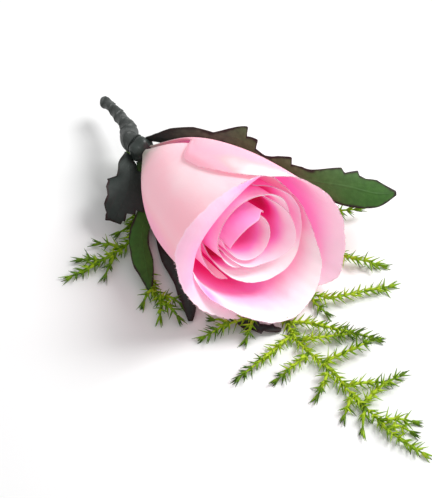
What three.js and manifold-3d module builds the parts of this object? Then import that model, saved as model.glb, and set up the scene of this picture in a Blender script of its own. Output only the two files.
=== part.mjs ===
// Artificial rose boutonniere: a silk rose bud on a short taped stem with fabric sepals and sprays of
// soft plastic fern. It lies on its side on the surface z = 0, stem towards -X. Millimetres, +Z up.
// The origin is on the flat spot under the back petal, which the flower rests on.
import * as THREE from 'three';
import ManifoldModule from 'manifold-3d';

const wasm = await ManifoldModule();
wasm.setup();

const { degToRad, smoothstep, clamp, lerp, seededRandom } = THREE.MathUtils;

// --- driving dimensions
const BUD_TILT = 8; // degrees from the surface up to the bud's axis
const BUD_BASE = new THREE.Vector3(-46, 0, 16.2); // near the petals' feet, on the bloom's straight axis
const NECK_LEAN = 2.4; // how far the stem end of the bud leans off that axis, in the direction NECK_TURN
const NECK_TURN = 117;
const NECK_STRAIGHT = -6; // height below which the lean is whole
const NECK_LENGTH = 36; // length over which it fades out
const FABRIC = 0.7; // thickness of petals and sepals
const WIRE_RADIUS = 1.2;
const PETAL_CORE = WIRE_RADIUS + 0.65; // radius of a petal's middle surface at its foot
const PEG_TOP = 21.5; // the peg's end, measured along the bud's axis
const CUP_SPREAD = 17; // height over which an outer petal opens into its cup
const CUP_POWER = 1.15;
const LIP_ROWS = 0.3; // share of a petal's rows that lie in its lip
const PETAL_COLUMNS = 12;
const PETAL_ROWS = 10;
const SEPAL_COLUMNS = 2;
const SEPAL_ROWS = 24;
const TAPE_TIP_RADIUS = 1.9;
const TAPE_NECK_RADIUS = 3.3;
const TAPE_WALL = 0.75;
const TAPE_RIDGE = 0.14; // height of the edges that the wound tape leaves
const TAPE_TURNS = 5;
const WIRE_CLEARANCE = 0.3;
const KNOB_CLEARANCE = 0.45;
const FERN_STEM_RADIUS = 0.55;
const STEM_SIDES = 4;
const BARE_STEP = 5; // ring spacing along a stem's bare foot
const NEEDLE_STEP = 0.95; // ring spacing where two needles stand out of every ring
const NEEDLE_LENGTH = 3.6;
const NEEDLE_FLOOR = 0.1; // lowest a needle's tip reaches

// --- the bud's own frame: a turn round the axis is 0 straight down and 90 towards +Y
const tilt = degToRad(BUD_TILT);
const budAxis = new THREE.Vector3(Math.cos(tilt), 0, Math.sin(tilt));
const budDown = new THREE.Vector3(Math.sin(tilt), 0, -Math.cos(tilt));
const budSide = new THREE.Vector3(0, 1, 0);

function outward(turn) {
  const angle = degToRad(turn);
  return budDown.clone().multiplyScalar(Math.cos(angle)).addScaledVector(budSide, Math.sin(angle));
}

function budPoint(turn, radius, height) {
  const lean = NECK_LEAN * (1 - smoothstep(height, NECK_STRAIGHT, NECK_STRAIGHT + NECK_LENGTH));
  return BUD_BASE.clone()
    .addScaledVector(budAxis, height)
    .addScaledVector(outward(turn), radius)
    .addScaledVector(outward(NECK_TURN), lean);
}

function catmullRom(t, before, start, end, after) {
  const slopeStart = (end - before) / 2;
  const slopeEnd = (after - start) / 2;
  const bend = 2 * start - 2 * end + slopeStart + slopeEnd;
  const sag = -3 * start + 3 * end - 2 * slopeStart - slopeEnd;
  return ((bend * t + sag) * t + slopeStart) * t + start;
}

function alongStations(stations, share) {
  const place = clamp(share, 0, 1) * (stations.length - 1);
  const index = Math.min(Math.floor(place), stations.length - 2);
  const at = (k) => stations[clamp(k, 0, stations.length - 1)];
  return stations[index].map((_, column) =>
    catmullRom(
      place - index,
      at(index - 1)[column],
      at(index)[column],
      at(index + 1)[column],
      at(index + 2)[column],
    ),
  );
}

// --- closed solids from formulas
function closedGeometry(points, triangles) {
  const geometry = new THREE.BufferGeometry();
  geometry.setAttribute('position', new THREE.Float32BufferAttribute(points.flatMap((p) => p.toArray()), 3));
  geometry.setIndex(triangles);
  return geometry;
}

// Keeps a pair of points on both faces of a sheet above the surface that the flower lies on. Where the
// sheet carries the flower's weight it also sags, so that it lies flat on the surface.
function pressOnSurface(one, other, sag) {
  const [lower, upper] = one.z < other.z ? [one, other] : [other, one];
  const drop = sag * (1 - smoothstep(lower.z, sag, 2 * sag));
  lower.z -= drop;
  upper.z -= drop;
  if (lower.z < 0) {
    lower.z = 0;
    upper.z = Math.max(upper.z, FABRIC);
  }
}

// A sheet of fabric: surface(across, along) is its middle, both faces are split into triangles alike.
function sheetGeometry(surface, columns, rows, sag = 0) {
  const width = columns + 1;
  const middle = [];
  for (let row = 0; row <= rows; row += 1) {
    for (let column = 0; column <= columns; column += 1) {
      middle.push(surface(column / columns, row / rows));
    }
  }
  const at = (column, row) => middle[clamp(row, 0, rows) * width + clamp(column, 0, columns)];
  const front = [];
  const back = [];
  for (let row = 0; row <= rows; row += 1) {
    for (let column = 0; column <= columns; column += 1) {
      const across = at(column + 1, row).clone().sub(at(column - 1, row));
      const along = at(column, row + 1).clone().sub(at(column, row - 1));
      const half = across.cross(along).setLength(FABRIC / 2);
      front.push(at(column, row).clone().add(half));
      back.push(at(column, row).clone().sub(half));
    }
  }
  front.forEach((point, index) => pressOnSurface(point, back[index], sag));

  const triangles = [];
  const offset = front.length;
  for (let row = 0; row < rows; row += 1) {
    for (let column = 0; column < columns; column += 1) {
      const a = row * width + column;
      const [b, c, d] = [a + 1, a + width + 1, a + width];
      triangles.push(a, b, c, a, c, d);
      triangles.push(offset + a, offset + c, offset + b, offset + a, offset + d, offset + c);
    }
  }
  const rim = [];
  for (let column = 0; column < columns; column += 1) rim.push(column);
  for (let row = 0; row < rows; row += 1) rim.push(row * width + columns);
  for (let column = columns; column > 0; column -= 1) rim.push(rows * width + column);
  for (let row = rows; row > 0; row -= 1) rim.push(row * width);
  rim.forEach((a, index) => {
    const b = rim[(index + 1) % rim.length];
    triangles.push(a, offset + a, offset + b, a, offset + b, b);
  });
  return closedGeometry([...front, ...back], triangles);
}

// Directions across a curve that never runs straight up: level, and square to both.
function frameAt(curve, share) {
  const forward = curve.getTangentAt(share);
  const level = new THREE.Vector3(0, 0, 1).cross(forward).normalize();
  return { forward, level, lift: forward.clone().cross(level) };
}

function evenShares(steps, from = 0, to = 1) {
  return Array.from({ length: steps + 1 }, (_, step) => lerp(from, to, step / steps));
}

// A closed bar along a curve, with flat ends and a radius that depends on the share of its length.
// spikeTip(step, side, corners) may give a point that the facet between two rings is drawn out to.
function barGeometry(curve, shares, sides, radiusAt, spikeTip = () => null) {
  const points = [];
  shares.forEach((share) => {
    const { level, lift } = frameAt(curve, share);
    for (let side = 0; side < sides; side += 1) {
      const angle = ((side + 0.5) / sides) * 2 * Math.PI;
      const across = level.clone().multiplyScalar(Math.cos(angle)).addScaledVector(lift, Math.sin(angle));
      points.push(curve.getPointAt(share).addScaledVector(across, radiusAt(share)));
    }
  });
  const triangles = [];
  for (let step = 0; step < shares.length - 1; step += 1) {
    for (let side = 0; side < sides; side += 1) {
      const a = step * sides + side;
      const b = step * sides + ((side + 1) % sides);
      const tip = spikeTip(step, side, [a, b, b + sides, a + sides].map((index) => points[index]));
      if (tip) {
        const t = points.push(tip) - 1;
        triangles.push(a, b, t, b, b + sides, t, b + sides, a + sides, t, a + sides, a, t);
      } else {
        triangles.push(a, b, b + sides, a, b + sides, a + sides);
      }
    }
  }
  const last = (shares.length - 1) * sides;
  for (let side = 1; side < sides - 1; side += 1) {
    triangles.push(0, side + 1, side, last, last + side, last + side + 1);
  }
  return closedGeometry(points, triangles);
}

// --- joining and cutting
function toSolid(geometry) {
  const mesh = new wasm.Mesh({
    numProp: 3,
    vertProperties: geometry.attributes.position.array,
    triVerts: new Uint32Array(geometry.index.array),
  });
  return new wasm.Manifold(mesh);
}

function toGeometry(solid) {
  const mesh = solid.getMesh();
  const geometry = new THREE.BufferGeometry();
  geometry.setAttribute('position', new THREE.BufferAttribute(new Float32Array(mesh.vertProperties), 3));
  geometry.setIndex(Array.from(mesh.triVerts));
  return geometry;
}

// --- petals: rim stations are [turn, radius, height, length of the lip, degrees the lip bends out],
// radius and height where the cup ends and the lip starts; sag is how far the resting petal gives way
const petals = {
  heart_petal_back: {
    foot: 16, spread: 12, claw: 0.4, bulge: 0,
    rim: [
      [-106, 9.2, 44, 5, 4], [-70, 9.1, 47.5, 5, 4], [-20, 8.3, 49.5, 5.5, 6],
      [30, 7.9, 50, 5, 6], [80, 7.5, 49.5, 4, 6], [128, 7.1, 47, 4, 4],
    ],
  },
  heart_petal_front: {
    foot: 16, spread: 12, claw: 0.4, bulge: 0,
    rim: [
      [104, 8.7, 46, 4, 4], [142, 8.7, 48.6, 4, 4], [165, 8.3, 51, 4, 3],
      [200, 7.9, 50.5, 4, 3], [235, 7.9, 49.3, 4, 3], [268, 7.7, 47.5, 4, 3],
    ],
  },
  inner_petal_back: {
    foot: 13, spread: 14, claw: 0.5, bulge: 0,
    rim: [
      [-86, 10.3, 45, 5, 8], [-50, 10.4, 49.5, 5, 10], [0, 11, 51, 5.5, 18],
      [30, 12, 53, 6, 20], [60, 13.2, 54.5, 6, 20], [95, 13.7, 50, 6, 10], [128, 12.9, 46, 5, 2],
    ],
  },
  inner_petal_front: {
    foot: 11, spread: 14, claw: 0.55, bulge: 0.4,
    rim: [
      [88, 15.1, 50, 5, 14], [118, 14.8, 49.4, 4.5, 30], [150, 13.8, 48.3, 4.5, 50],
      [185, 13.3, 47.2, 4.5, 60], [215, 13.1, 47, 4.5, 60], [245, 12.7, 47.6, 4.5, 45],
      [275, 11.9, 48.2, 4.5, 20], [318, 11.6, 50.3, 4, 10],
    ],
  },
  middle_petal_back: {
    foot: 9, spread: 16, claw: 0.5, bulge: 0,
    rim: [
      [-104, 13.9, 41, 5, 8], [-70, 13.6, 46.5, 5, 10], [-35, 14.6, 50.5, 5, 14], [0, 15.6, 53.5, 6, 20],
      [30, 16.2, 54, 7, 22], [60, 16.8, 52.5, 7, 20], [95, 17.4, 50.5, 6, 16], [125, 17.5, 49, 5, 12],
      [155, 16.8, 45, 4, 8],
    ],
  },
  middle_petal_front: {
    foot: 7, spread: 17, claw: 0.55, bulge: 0.4,
    rim: [
      [150, 18.2, 41, 4, 6], [185, 17.8, 42, 4, 6], [220, 17.2, 42, 4, 6], [255, 16.9, 43.5, 4, 8],
      [285, 16.5, 46, 4, 10], [322, 16.9, 47, 4, 6],
    ],
  },
  back_petal: {
    foot: 2, spread: CUP_SPREAD, claw: 0.6, bulge: 0.4, sag: 1.6,
    rim: [
      [-88, 20.8, 42, 6, 4], [-72, 21.8, 49, 8, 6], [-40, 22.3, 58.5, 9, 6], [-8, 22.6, 64, 9, 8],
      [20, 22.6, 63, 9, 8], [45, 22.2, 59, 9, 8], [65, 21, 54, 8, 6], [90, 20.2, 49, 6, 4],
      [118, 19.6, 42, 5, 2],
    ],
  },
  front_petal: {
    foot: 0.5, spread: CUP_SPREAD, claw: 0.65, bulge: 0,
    rim: [
      [142, 20.8, 47, 3, 20], [170, 20.7, 49.5, 4, 120], [190, 20.8, 50, 7, 165],
      [214, 20.7, 48.9, 10.7, 170], [238, 21.2, 47.3, 13.5, 165], [258, 22.4, 46, 13.5, 135],
      [275, 24, 44.5, 10, 85], [297, 24.8, 45.5, 10, 50], [318, 24.8, 50.5, 9, 36], [332, 24.8, 51, 8, 26],
    ],
  },
  side_petal: {
    foot: -1, spread: CUP_SPREAD, claw: 0.65, bulge: 0,
    rim: [
      [27, 24.5, 60, 10, 4], [42, 24.8, 64.5, 10, 6], [60, 25, 63, 10, 6], [85, 25.1, 60, 9, 8],
      [108, 24.9, 56.5, 8, 12], [132, 24.6, 52, 6, 18], [152, 24.2, 48.8, 5, 12], [166, 23.8, 43, 4, 4],
      [176, 23.2, 37, 3, 0.5], [183, 21.6, 30, 2, 0.5],
    ],
  },
};

function cupShare(rise, spread) {
  return 1 - Math.exp(-((Math.max(rise, 0) / spread) ** CUP_POWER));
}

function cupRadius(petal, height, rimRadius, rimHeight) {
  const share = cupShare(height - petal.foot, petal.spread) / cupShare(rimHeight - petal.foot, petal.spread);
  const belly = Math.sin(Math.PI * clamp((height - petal.foot) / (rimHeight - petal.foot), 0, 1));
  return PETAL_CORE + (rimRadius - PETAL_CORE) * share + petal.bulge * belly;
}

function petalPoint(petal, across, along) {
  const [turn, radius, height, lipLength, lipBend] = alongStations(petal.rim, across);
  const middle = (petal.rim[0][0] + petal.rim.at(-1)[0]) / 2;
  const climb = Math.min(along / (1 - LIP_ROWS), 1);
  const wrap = lerp(petal.claw, 1, smoothstep(climb * (height - petal.foot), 0, petal.spread));
  const heldTurn = middle + (turn - middle) * wrap;
  if (climb < 1) {
    const level = petal.foot + climb * (height - petal.foot);
    return budPoint(heldTurn, cupRadius(petal, level, radius, height), level);
  }
  const lean = Math.atan(radius - cupRadius(petal, height - 1, radius, height));
  const bend = degToRad(lipBend);
  const reach = lean + (bend * (along - 1 + LIP_ROWS)) / LIP_ROWS;
  const curl = lipLength / bend;
  return budPoint(
    heldTurn,
    radius + curl * (Math.cos(lean) - Math.cos(reach)),
    height + curl * (Math.sin(reach) - Math.sin(lean)),
  );
}

function petalGeometry(petal) {
  const surface = (across, along) => petalPoint(petal, across, along);
  return sheetGeometry(surface, PETAL_COLUMNS, PETAL_ROWS, petal.sag);
}

// --- sepals: stations are [turn, radius, height, half width, degrees the blade is rolled round its spine]
const sepals = {
  long_sepal: {
    teeth: 4,
    spine: [
      [132, 4.3, -2.2, 1.6, 0], [127, 8, 1.5, 3, 0], [120, 14.2, 8.5, 3.9, 6], [112, 20.4, 18.5, 3.9, 11],
      [107.5, 25.6, 26.5, 5, 38], [103, 25.2, 35.6, 2.9, 20], [102, 26.6, 45.2, 3.6, 26],
      [97, 28.3, 52, 4.2, 32], [89, 36.5, 61, 6.4, 45], [83, 43.5, 67.3, 4.8, 45], [80, 51, 70.3, 0.7, 45],
    ],
  },
  broad_sepal: {
    teeth: 3,
    spine: [
      [-76, 4.2, -4.2, 1.8, -10], [-70, 7.4, -2, 3.2, -30], [-64, 10.6, 1, 4.4, -48],
      [-65, 15, 3.8, 5.2, -54], [-64, 19.8, 5, 5.4, -54],
      [-61, 23.4, 5.2, 4.4, -52], [-60, 25, 5.4, 2.4, -52],
    ],
  },
  green_sepal: {
    teeth: 0,
    spine: [
      [-20, 4.2, -1.4, 1.4, 0], [-25, 9.5, 3, 2.4, -8], [-38, 16, 9.7, 3, -26], [-52, 20.8, 14.8, 3.4, -43],
      [-57, 24.9, 20.4, 3.3, -43], [-58, 29.9, 27, 2.5, -43], [-57, 34.4, 32, 0.6, -43],
    ],
  },
  side_sepal: {
    teeth: 0,
    spine: [
      [10, 4.6, -3.6, 1.6, 0], [5, 10, 0, 2.4, 0], [-4, 16, 6.5, 2.6, 0], [-25, 21, 14.5, 2.8, -20],
      [-38, 25.2, 22, 3, -36], [-46.5, 27.3, 30, 2.8, -46], [-50, 29.4, 37, 2.8, -48],
      [-50.5, 32.6, 43.5, 2.4, -48], [-50, 35, 48.8, 0.6, -46],
    ],
  },
  under_sepal: {
    teeth: 5,
    spine: [
      [50, 4.2, -1.4, 1.6, 0], [28, 9, 3, 2.4, 0], [-6, 14.4, 8.6, 2.4, -4], [-29, 19, 16, 2.2, -25],
      [-36, 22, 24, 1.9, -33], [-37, 23.7, 31, 1.6, -36], [-38, 26, 38, 1.5, -37],
      [-38.5, 28, 46, 1.5, -38], [-39, 29.6, 54, 1.6, -39], [-35, 29.2, 62, 2.2, -36],
      [-26, 27.6, 68, 2.3, -26], [-17, 27.2, 73.5, 0.6, -17],
    ],
  },
};
const SEPAL_CAMBER = 0.16; // rise of a blade's middle as a share of its half width
const TOOTH_DEPTH = 0.32;

function toothShare(teeth, along) {
  if (teeth === 0 || along < 0.35) return 1;
  const phase = (along * teeth * 2) % 1;
  return 1 + TOOTH_DEPTH * (phase - 0.5);
}

function sepalPoint(sepal, across, along) {
  const [turn, radius, height, halfWidth, roll] = alongStations(sepal.spine, along);
  const step = 0.01;
  const ahead = alongStations(sepal.spine, Math.min(along + step, 1)).slice(0, 3);
  const behind = alongStations(sepal.spine, Math.max(along - step, 0)).slice(0, 3);
  const forward = budPoint(...ahead).sub(budPoint(...behind)).normalize();
  const level = outward(turn + 90);
  level.addScaledVector(forward, -level.dot(forward)).normalize();
  const sideways = level.applyAxisAngle(forward, -degToRad(roll));
  const face = forward.clone().cross(sideways);
  const place = 2 * across - 1;
  const width = halfWidth * toothShare(sepal.teeth, along);
  return budPoint(turn, radius, height)
    .addScaledVector(sideways, place * width)
    .addScaledVector(face, SEPAL_CAMBER * halfWidth * (1 - place * place));
}

function sepalGeometry(sepal) {
  return sheetGeometry((across, along) => sepalPoint(sepal, across, along), SEPAL_COLUMNS, SEPAL_ROWS);
}

// --- stem: the wire's curve from the cut end to the peg's end, inside the tape up to the knob
const stemPoints = [
  new THREE.Vector3(-78.8, 11.1, 9),
  new THREE.Vector3(-71.4, 10, 10.6),
  new THREE.Vector3(-65, 8.2, 12.4),
  new THREE.Vector3(-58.8, 5.7, 14.5),
  budPoint(0, 0, -8.4),
  budPoint(0, 0, -5.8),
];
const KNOB_SEAT = -5.4; // height of the knob's stem end
const KNOB_LENGTH = 4;

function stemCurve(points) {
  return new THREE.CatmullRomCurve3(points);
}

function stretchOf(curve, from) {
  return stemCurve(evenShares(12, from, 1).map((share) => curve.getPointAt(share)));
}

function wireGeometry() {
  const curve = stemCurve([...stemPoints, ...[1, 8, 15, PEG_TOP].map((height) => budPoint(0, 0, height))]);
  const inside = stretchOf(curve, 0.04);
  const radiusAt = (share) => WIRE_RADIUS * (1 - 0.25 * smoothstep(share, 0.75, 1));
  return barGeometry(inside, evenShares(12), 8, radiusAt);
}

function tapeGeometry() {
  const radiusAt = (share) => {
    const taper = lerp(TAPE_TIP_RADIUS, TAPE_NECK_RADIUS, smoothstep(share, 0.25, 1));
    const roundedTip = 0.62 + 0.38 * smoothstep(share, 0, 0.06);
    return taper * roundedTip + TAPE_RIDGE * Math.sin(share * TAPE_TURNS * 2 * Math.PI);
  };
  const sleeve = toSolid(barGeometry(stemCurve(stemPoints), evenShares(22), 12, radiusAt));
  const beyond = stemPoints.at(-1).clone().addScaledVector(budAxis, 2);
  const bore = stretchOf(stemCurve([...stemPoints.slice(0, -1), beyond]), 0.035);
  const boreRadius = WIRE_RADIUS + WIRE_CLEARANCE;
  const mouth = TAPE_NECK_RADIUS - TAPE_WALL;
  const widening = (share) => lerp(boreRadius, mouth, smoothstep(share, 0.7, 0.88));
  const hole = toSolid(barGeometry(bore, evenShares(14), 12, widening));
  return toGeometry(sleeve.subtract(hole));
}

// The knob under the petals is a turned ring round the wire.
function knobGeometry() {
  const hole = WIRE_RADIUS + KNOB_CLEARANCE;
  const profile = [
    new THREE.Vector2(hole, 0),
    new THREE.Vector2(2.6, 0),
    new THREE.Vector2(3.4, 1),
    new THREE.Vector2(3.4, KNOB_LENGTH - 1),
    new THREE.Vector2(2.6, KNOB_LENGTH),
    new THREE.Vector2(hole, KNOB_LENGTH),
    new THREE.Vector2(hole, 0),
  ];
  return new THREE.LatheGeometry(profile, 16);
}

// --- fern: every branch is a bare foot followed by a stretch whose facets are drawn out to needles
function needledStem({ route, bare = 0 }) {
  const curve = new THREE.CatmullRomCurve3(route.map((point) => new THREE.Vector3(...point)));
  const length = curve.getLength();
  const bareSteps = Math.ceil(bare / BARE_STEP);
  const needleSteps = Math.round((length - bare) / NEEDLE_STEP);
  const foot = bareSteps > 0 ? evenShares(bareSteps, 0, bare / length).slice(0, -1) : [];
  const shares = [...foot, ...evenShares(needleSteps, bare / length, 1)];
  const needleTip = (step, side, corners) => {
    if (step < foot.length || (step + side) % 2 === 0) return null;
    return needlePoint(frameAt(curve, shares[step]).forward, corners, shares[step]);
  };
  const radiusAt = (share) => FERN_STEM_RADIUS * (1 - 0.4 * share);
  return toSolid(barGeometry(curve, shares, STEM_SIDES, radiusAt, needleTip));
}

function needlePoint(forward, corners, share) {
  const root = new THREE.Vector3();
  corners.forEach((corner) => root.addScaledVector(corner, 1 / corners.length));
  const away = corners[1].clone().sub(corners[0]).cross(forward).normalize();
  const jitter = new THREE.Vector3(seededRandom() - 0.5, seededRandom() - 0.5, seededRandom() - 0.5);
  const lean = lerp(0.6, 0.9, seededRandom()) + smoothstep(share, 0.9, 1);
  const length = NEEDLE_LENGTH * lerp(0.8, 1.1, seededRandom());
  const direction = away.addScaledVector(forward, lean).addScaledVector(jitter, 0.6).setLength(length);
  const tip = root.add(direction);
  tip.z = Math.max(tip.z, NEEDLE_FLOOR);
  return tip;
}

function fernSolid(branches, seed) {
  seededRandom(seed);
  return wasm.Manifold.union(branches.map(needledStem));
}

const ferns = {
  fern_forward: {
    seed: 11,
    branches: [
      {
        bare: 99,
        route: [
          [-57.3, 7.8, 11.8], [-48, 9, 8.6], [-40, 11, 5], [-25, 14.5, 1.6], [0, 15.5, 1], [15, 9, 1],
          [25.4, -3.5, 1], [30.5, -5.5, 1], [37, -7.8, 2], [44, -7.8, 2], [53, -8, 2], [61.8, -9.4, 2],
          [70.9, -9.9, 2], [81, -10.4, 2], [91, -8.4, 1],
        ],
      },
      { bare: 24, route: [[24, -1, 1], [21, -8, 2.2], [18.5, -14, 3], [15.4, -21, 3], [12.6, -31, 1.4]] },
      { bare: 2, route: [[32.5, -6.4, 1.2], [32.6, -19.4, 2], [31.7, -30, 1]] },
      { bare: 2, route: [[41.5, -8, 2], [41.3, -16.8, 2], [40.9, -22, 1]] },
      { bare: 2, route: [[50, -8, 2], [52.5, -12.5, 2.2], [53.9, -16.8, 1]] },
      { bare: 2, route: [[61.5, -9.4, 2], [63.5, -13, 2], [65, -16.3, 1]] },
      { bare: 2, route: [[68, -9.8, 2], [70, -13, 2], [72, -15.4, 1]] },
      { bare: 2, route: [[28, -5, 1], [32, -1.6, 2.4], [41.6, 4.1, 3], [52.9, 11.8, 1]] },
      { bare: 2, route: [[35.5, -7.4, 1.8], [39.5, -3, 3], [47.1, 7.8, 2.4]] },
      { bare: 2, route: [[47, -7.8, 2], [50.7, 1.5, 3.6], [53.2, 8.6, 4.2]] },
      { bare: 2, route: [[58, -8.8, 2], [61.5, -4, 2.6], [65.8, 1.4, 1.6]] },
      { bare: 2, route: [[66.5, -9.7, 2], [66.6, -1, 3.4], [67.9, 6.7, 2]] },
      { bare: 2, route: [[74, -10, 2], [78, -5.5, 2.4], [81.6, -2.3, 1]] },
      { bare: 2, route: [[77.5, -10.2, 2], [80, -7, 2.2], [83.5, -5.4, 1]] },
    ],
  },
  fern_left: {
    seed: 23,
    branches: [
      {
        bare: 27,
        route: [
          [-57.3, 2.4, 11.9], [-50, -1, 7.4], [-44.5, -5.5, 2.6], [-38, -12, 1.6], [-34, -16.5, 1.5],
          [-31, -21.5, 2], [-31.2, -29.3, 2.6], [-33, -36.7, 2], [-35, -43.5, 1],
        ],
      },
      { bare: 1.5, route: [[-36.6, -13.6, 1.6], [-36.2, -17, 1.4], [-36.8, -20, 1.2]] },
      { bare: 1.5, route: [[-31.1, -24, 2.2], [-34.5, -26, 2.6], [-37.6, -28, 2]] },
      { bare: 1.5, route: [[-31.1, -27, 2.4], [-29, -31, 2.4], [-27.4, -34.6, 1.4]] },
      { bare: 1.5, route: [[-31.8, -32.6, 2.4], [-34.8, -34.4, 2.4], [-37.2, -36.6, 1.6]] },
    ],
  },
  fern_right: {
    seed: 37,
    branches: [
      {
        bare: 93,
        route: [
          [-57.3, 9.1, 14], [-48, 12, 11], [-40, 15.6, 6], [-25, 19, 1.4], [0, 20, 1], [17, 13, 1],
          [24.5, 9, 1.2], [32, 11.6, 3], [37.6, 20.4, 2.6], [42.3, 29.8, 1],
        ],
      },
      { bare: 5, route: [[24, 9.2, 1.2], [28.5, 7.4, 1.6], [34.5, 7.2, 1.2]] },
    ],
  },
  fern_upper: {
    seed: 41,
    branches: [
      {
        bare: 76,
        route: [
          [-57.3, 8.7, 16.8], [-50, 12.6, 14], [-42, 18.6, 7], [-27, 25, 1.4], [0, 27.5, 1], [13, 26, 2],
          [25, 27, 3.6], [30.5, 30.6, 3], [35.1, 34.3, 1],
        ],
      },
      { bare: 10, route: [[-2, 27.4, 1.4], [6, 34, 3.4], [14.4, 42.8, 4.4]] },
    ],
  },
  fern_low: {
    seed: 53,
    branches: [
      {
        bare: 59,
        route: [
          [-57.3, 5.2, 10.8], [-50, 2.4, 7.4], [-44, -2.4, 3], [-38, -7, 1.6], [-26, -17.4, 1],
          [-14, -27.6, 1], [-7, -30.6, 1.2], [-2.6, -32.6, 2.2], [-0.8, -37, 1.4],
        ],
      },
      { bare: 1.5, route: [[-6, -31, 1.3], [-6.6, -34, 2.4], [-6.8, -37.4, 1.4]] },
      { bare: 1.5, route: [[-3.4, -32.2, 2], [1.4, -33, 2.4], [5.8, -33.4, 1.4]] },
    ],
  },
};

// --- materials, one for each piece
function paleFabric() {
  return new THREE.MeshStandardMaterial({ color: 0xf6b3c9, roughness: 0.85, metalness: 0 });
}

function darkFabric() {
  return new THREE.MeshStandardMaterial({ color: 0x2f4a2c, roughness: 0.6, metalness: 0 });
}

function stemTape() {
  return new THREE.MeshStandardMaterial({ color: 0x3b4a42, roughness: 0.55, metalness: 0 });
}

function knobPlastic() {
  return new THREE.MeshStandardMaterial({ color: 0x26332b, roughness: 0.5, metalness: 0 });
}

function wireMetal() {
  return new THREE.MeshStandardMaterial({ color: 0x6f7a70, roughness: 0.45, metalness: 0.8 });
}

function fernPlastic() {
  return new THREE.MeshStandardMaterial({ color: 0x7fae2e, roughness: 0.5, metalness: 0 });
}

// --- assembly
const roseCorsage = new THREE.Group();

function addPiece(name, geometry, material) {
  const mesh = new THREE.Mesh(geometry, material);
  mesh.name = name;
  roseCorsage.add(mesh);
  return mesh;
}

Object.entries(petals).forEach(([name, petal]) => addPiece(name, petalGeometry(petal), paleFabric()));
Object.entries(sepals).forEach(([name, sepal]) => addPiece(name, sepalGeometry(sepal), darkFabric()));

addPiece('stem_wire', wireGeometry(), wireMetal());
addPiece('stem_tape', tapeGeometry(), stemTape());

const knob = addPiece('calyx_knob', knobGeometry(), knobPlastic());
knob.position.copy(budPoint(0, 0, KNOB_SEAT));
knob.quaternion.setFromUnitVectors(new THREE.Vector3(0, 1, 0), budAxis);

Object.entries(ferns).forEach(([name, { branches, seed }]) => {
  addPiece(name, toGeometry(fernSolid(branches, seed)), fernPlastic());
});

export default roseCorsage;
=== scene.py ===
"""Dresses the rose boutonniere: dyed silk petals, satin sepals, a wound stem and soft fern sprays."""

import math
from functools import partialmethod

import bpy
import numpy as np
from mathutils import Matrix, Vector


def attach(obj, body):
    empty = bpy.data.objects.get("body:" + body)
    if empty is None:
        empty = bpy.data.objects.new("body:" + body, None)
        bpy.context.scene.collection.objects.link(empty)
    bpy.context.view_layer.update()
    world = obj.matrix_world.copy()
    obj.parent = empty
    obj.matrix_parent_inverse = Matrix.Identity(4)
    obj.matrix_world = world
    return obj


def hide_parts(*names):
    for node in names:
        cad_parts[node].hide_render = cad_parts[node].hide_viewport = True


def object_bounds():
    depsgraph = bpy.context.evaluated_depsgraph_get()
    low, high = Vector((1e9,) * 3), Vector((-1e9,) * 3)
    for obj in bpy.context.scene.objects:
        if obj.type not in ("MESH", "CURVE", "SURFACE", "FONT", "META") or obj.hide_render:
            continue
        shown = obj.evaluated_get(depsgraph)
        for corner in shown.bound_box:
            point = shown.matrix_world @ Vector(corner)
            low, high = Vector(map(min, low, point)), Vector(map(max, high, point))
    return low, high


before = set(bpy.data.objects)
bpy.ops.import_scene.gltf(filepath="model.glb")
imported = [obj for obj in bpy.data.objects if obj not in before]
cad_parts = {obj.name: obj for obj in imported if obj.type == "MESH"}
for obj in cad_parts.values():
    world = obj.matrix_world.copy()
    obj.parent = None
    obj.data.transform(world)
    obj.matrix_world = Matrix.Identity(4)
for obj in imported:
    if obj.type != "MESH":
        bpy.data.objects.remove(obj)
CAD_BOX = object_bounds()

bl_info = {
    "name": "Silk rose boutonniere",
    "version": (1, 0, 0),
    "blender": (4, 5, 0),
    "location": "View3D > Sidebar > Rose",
    "description": "Models and finishes a silk rose boutonniere around its solid frame",
    "category": "Add Mesh",
}

MM = 0.001
ROOT = "root"

# --- the bud's own frame in millimetres: a turn round the axis is 0 straight down and 90 towards +Y
BUD_TILT = math.radians(8)
BUD_BASE = np.array([-46.0, 0.0, 16.2])
BUD_AXIS = np.array([math.cos(BUD_TILT), 0, math.sin(BUD_TILT)])
BUD_DOWN = np.array([math.sin(BUD_TILT), 0, -math.cos(BUD_TILT)])
BUD_SIDE = np.array([0.0, 1.0, 0.0])
# the neck leans towards a turn, up to the height where it starts to straighten, and is upright a length above
NECK_LEAN = 2.4
NECK_TURN = 117
NECK_STRAIGHT = -6
NECK_LENGTH = 36
# points of a route's curve from one of its knots to the next, and those that its length is measured with
STRETCH_POINTS = 25
LENGTH_POINTS = 60


def smoothstep(value, low, high):
    share = np.clip((value - low) / (high - low), 0, 1)
    return share * share * (3 - 2 * share)


def unit(vectors):
    return vectors / np.linalg.norm(vectors, axis=-1, keepdims=True)


def gaps(points, axis=0):
    """Distances between neighbouring points."""
    return np.linalg.norm(np.diff(points, axis=axis), axis=-1)


def outward(turn):
    angle = np.radians(turn)[..., None]
    return BUD_DOWN * np.cos(angle) + BUD_SIDE * np.sin(angle)


def bud_point(turn, radius, height):
    """A point of the bud from its turn in degrees, its radius and its height, with the neck's lean."""
    turn, radius, height = np.broadcast_arrays(*(np.asarray(v, float) for v in (turn, radius, height)))
    lean = NECK_LEAN * (1 - smoothstep(height, NECK_STRAIGHT, NECK_STRAIGHT + NECK_LENGTH))
    sideways = outward(np.asarray(float(NECK_TURN)))
    return (
        BUD_BASE
        + BUD_AXIS * height[..., None]
        + outward(turn) * radius[..., None]
        + sideways * lean[..., None]
    )


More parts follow.
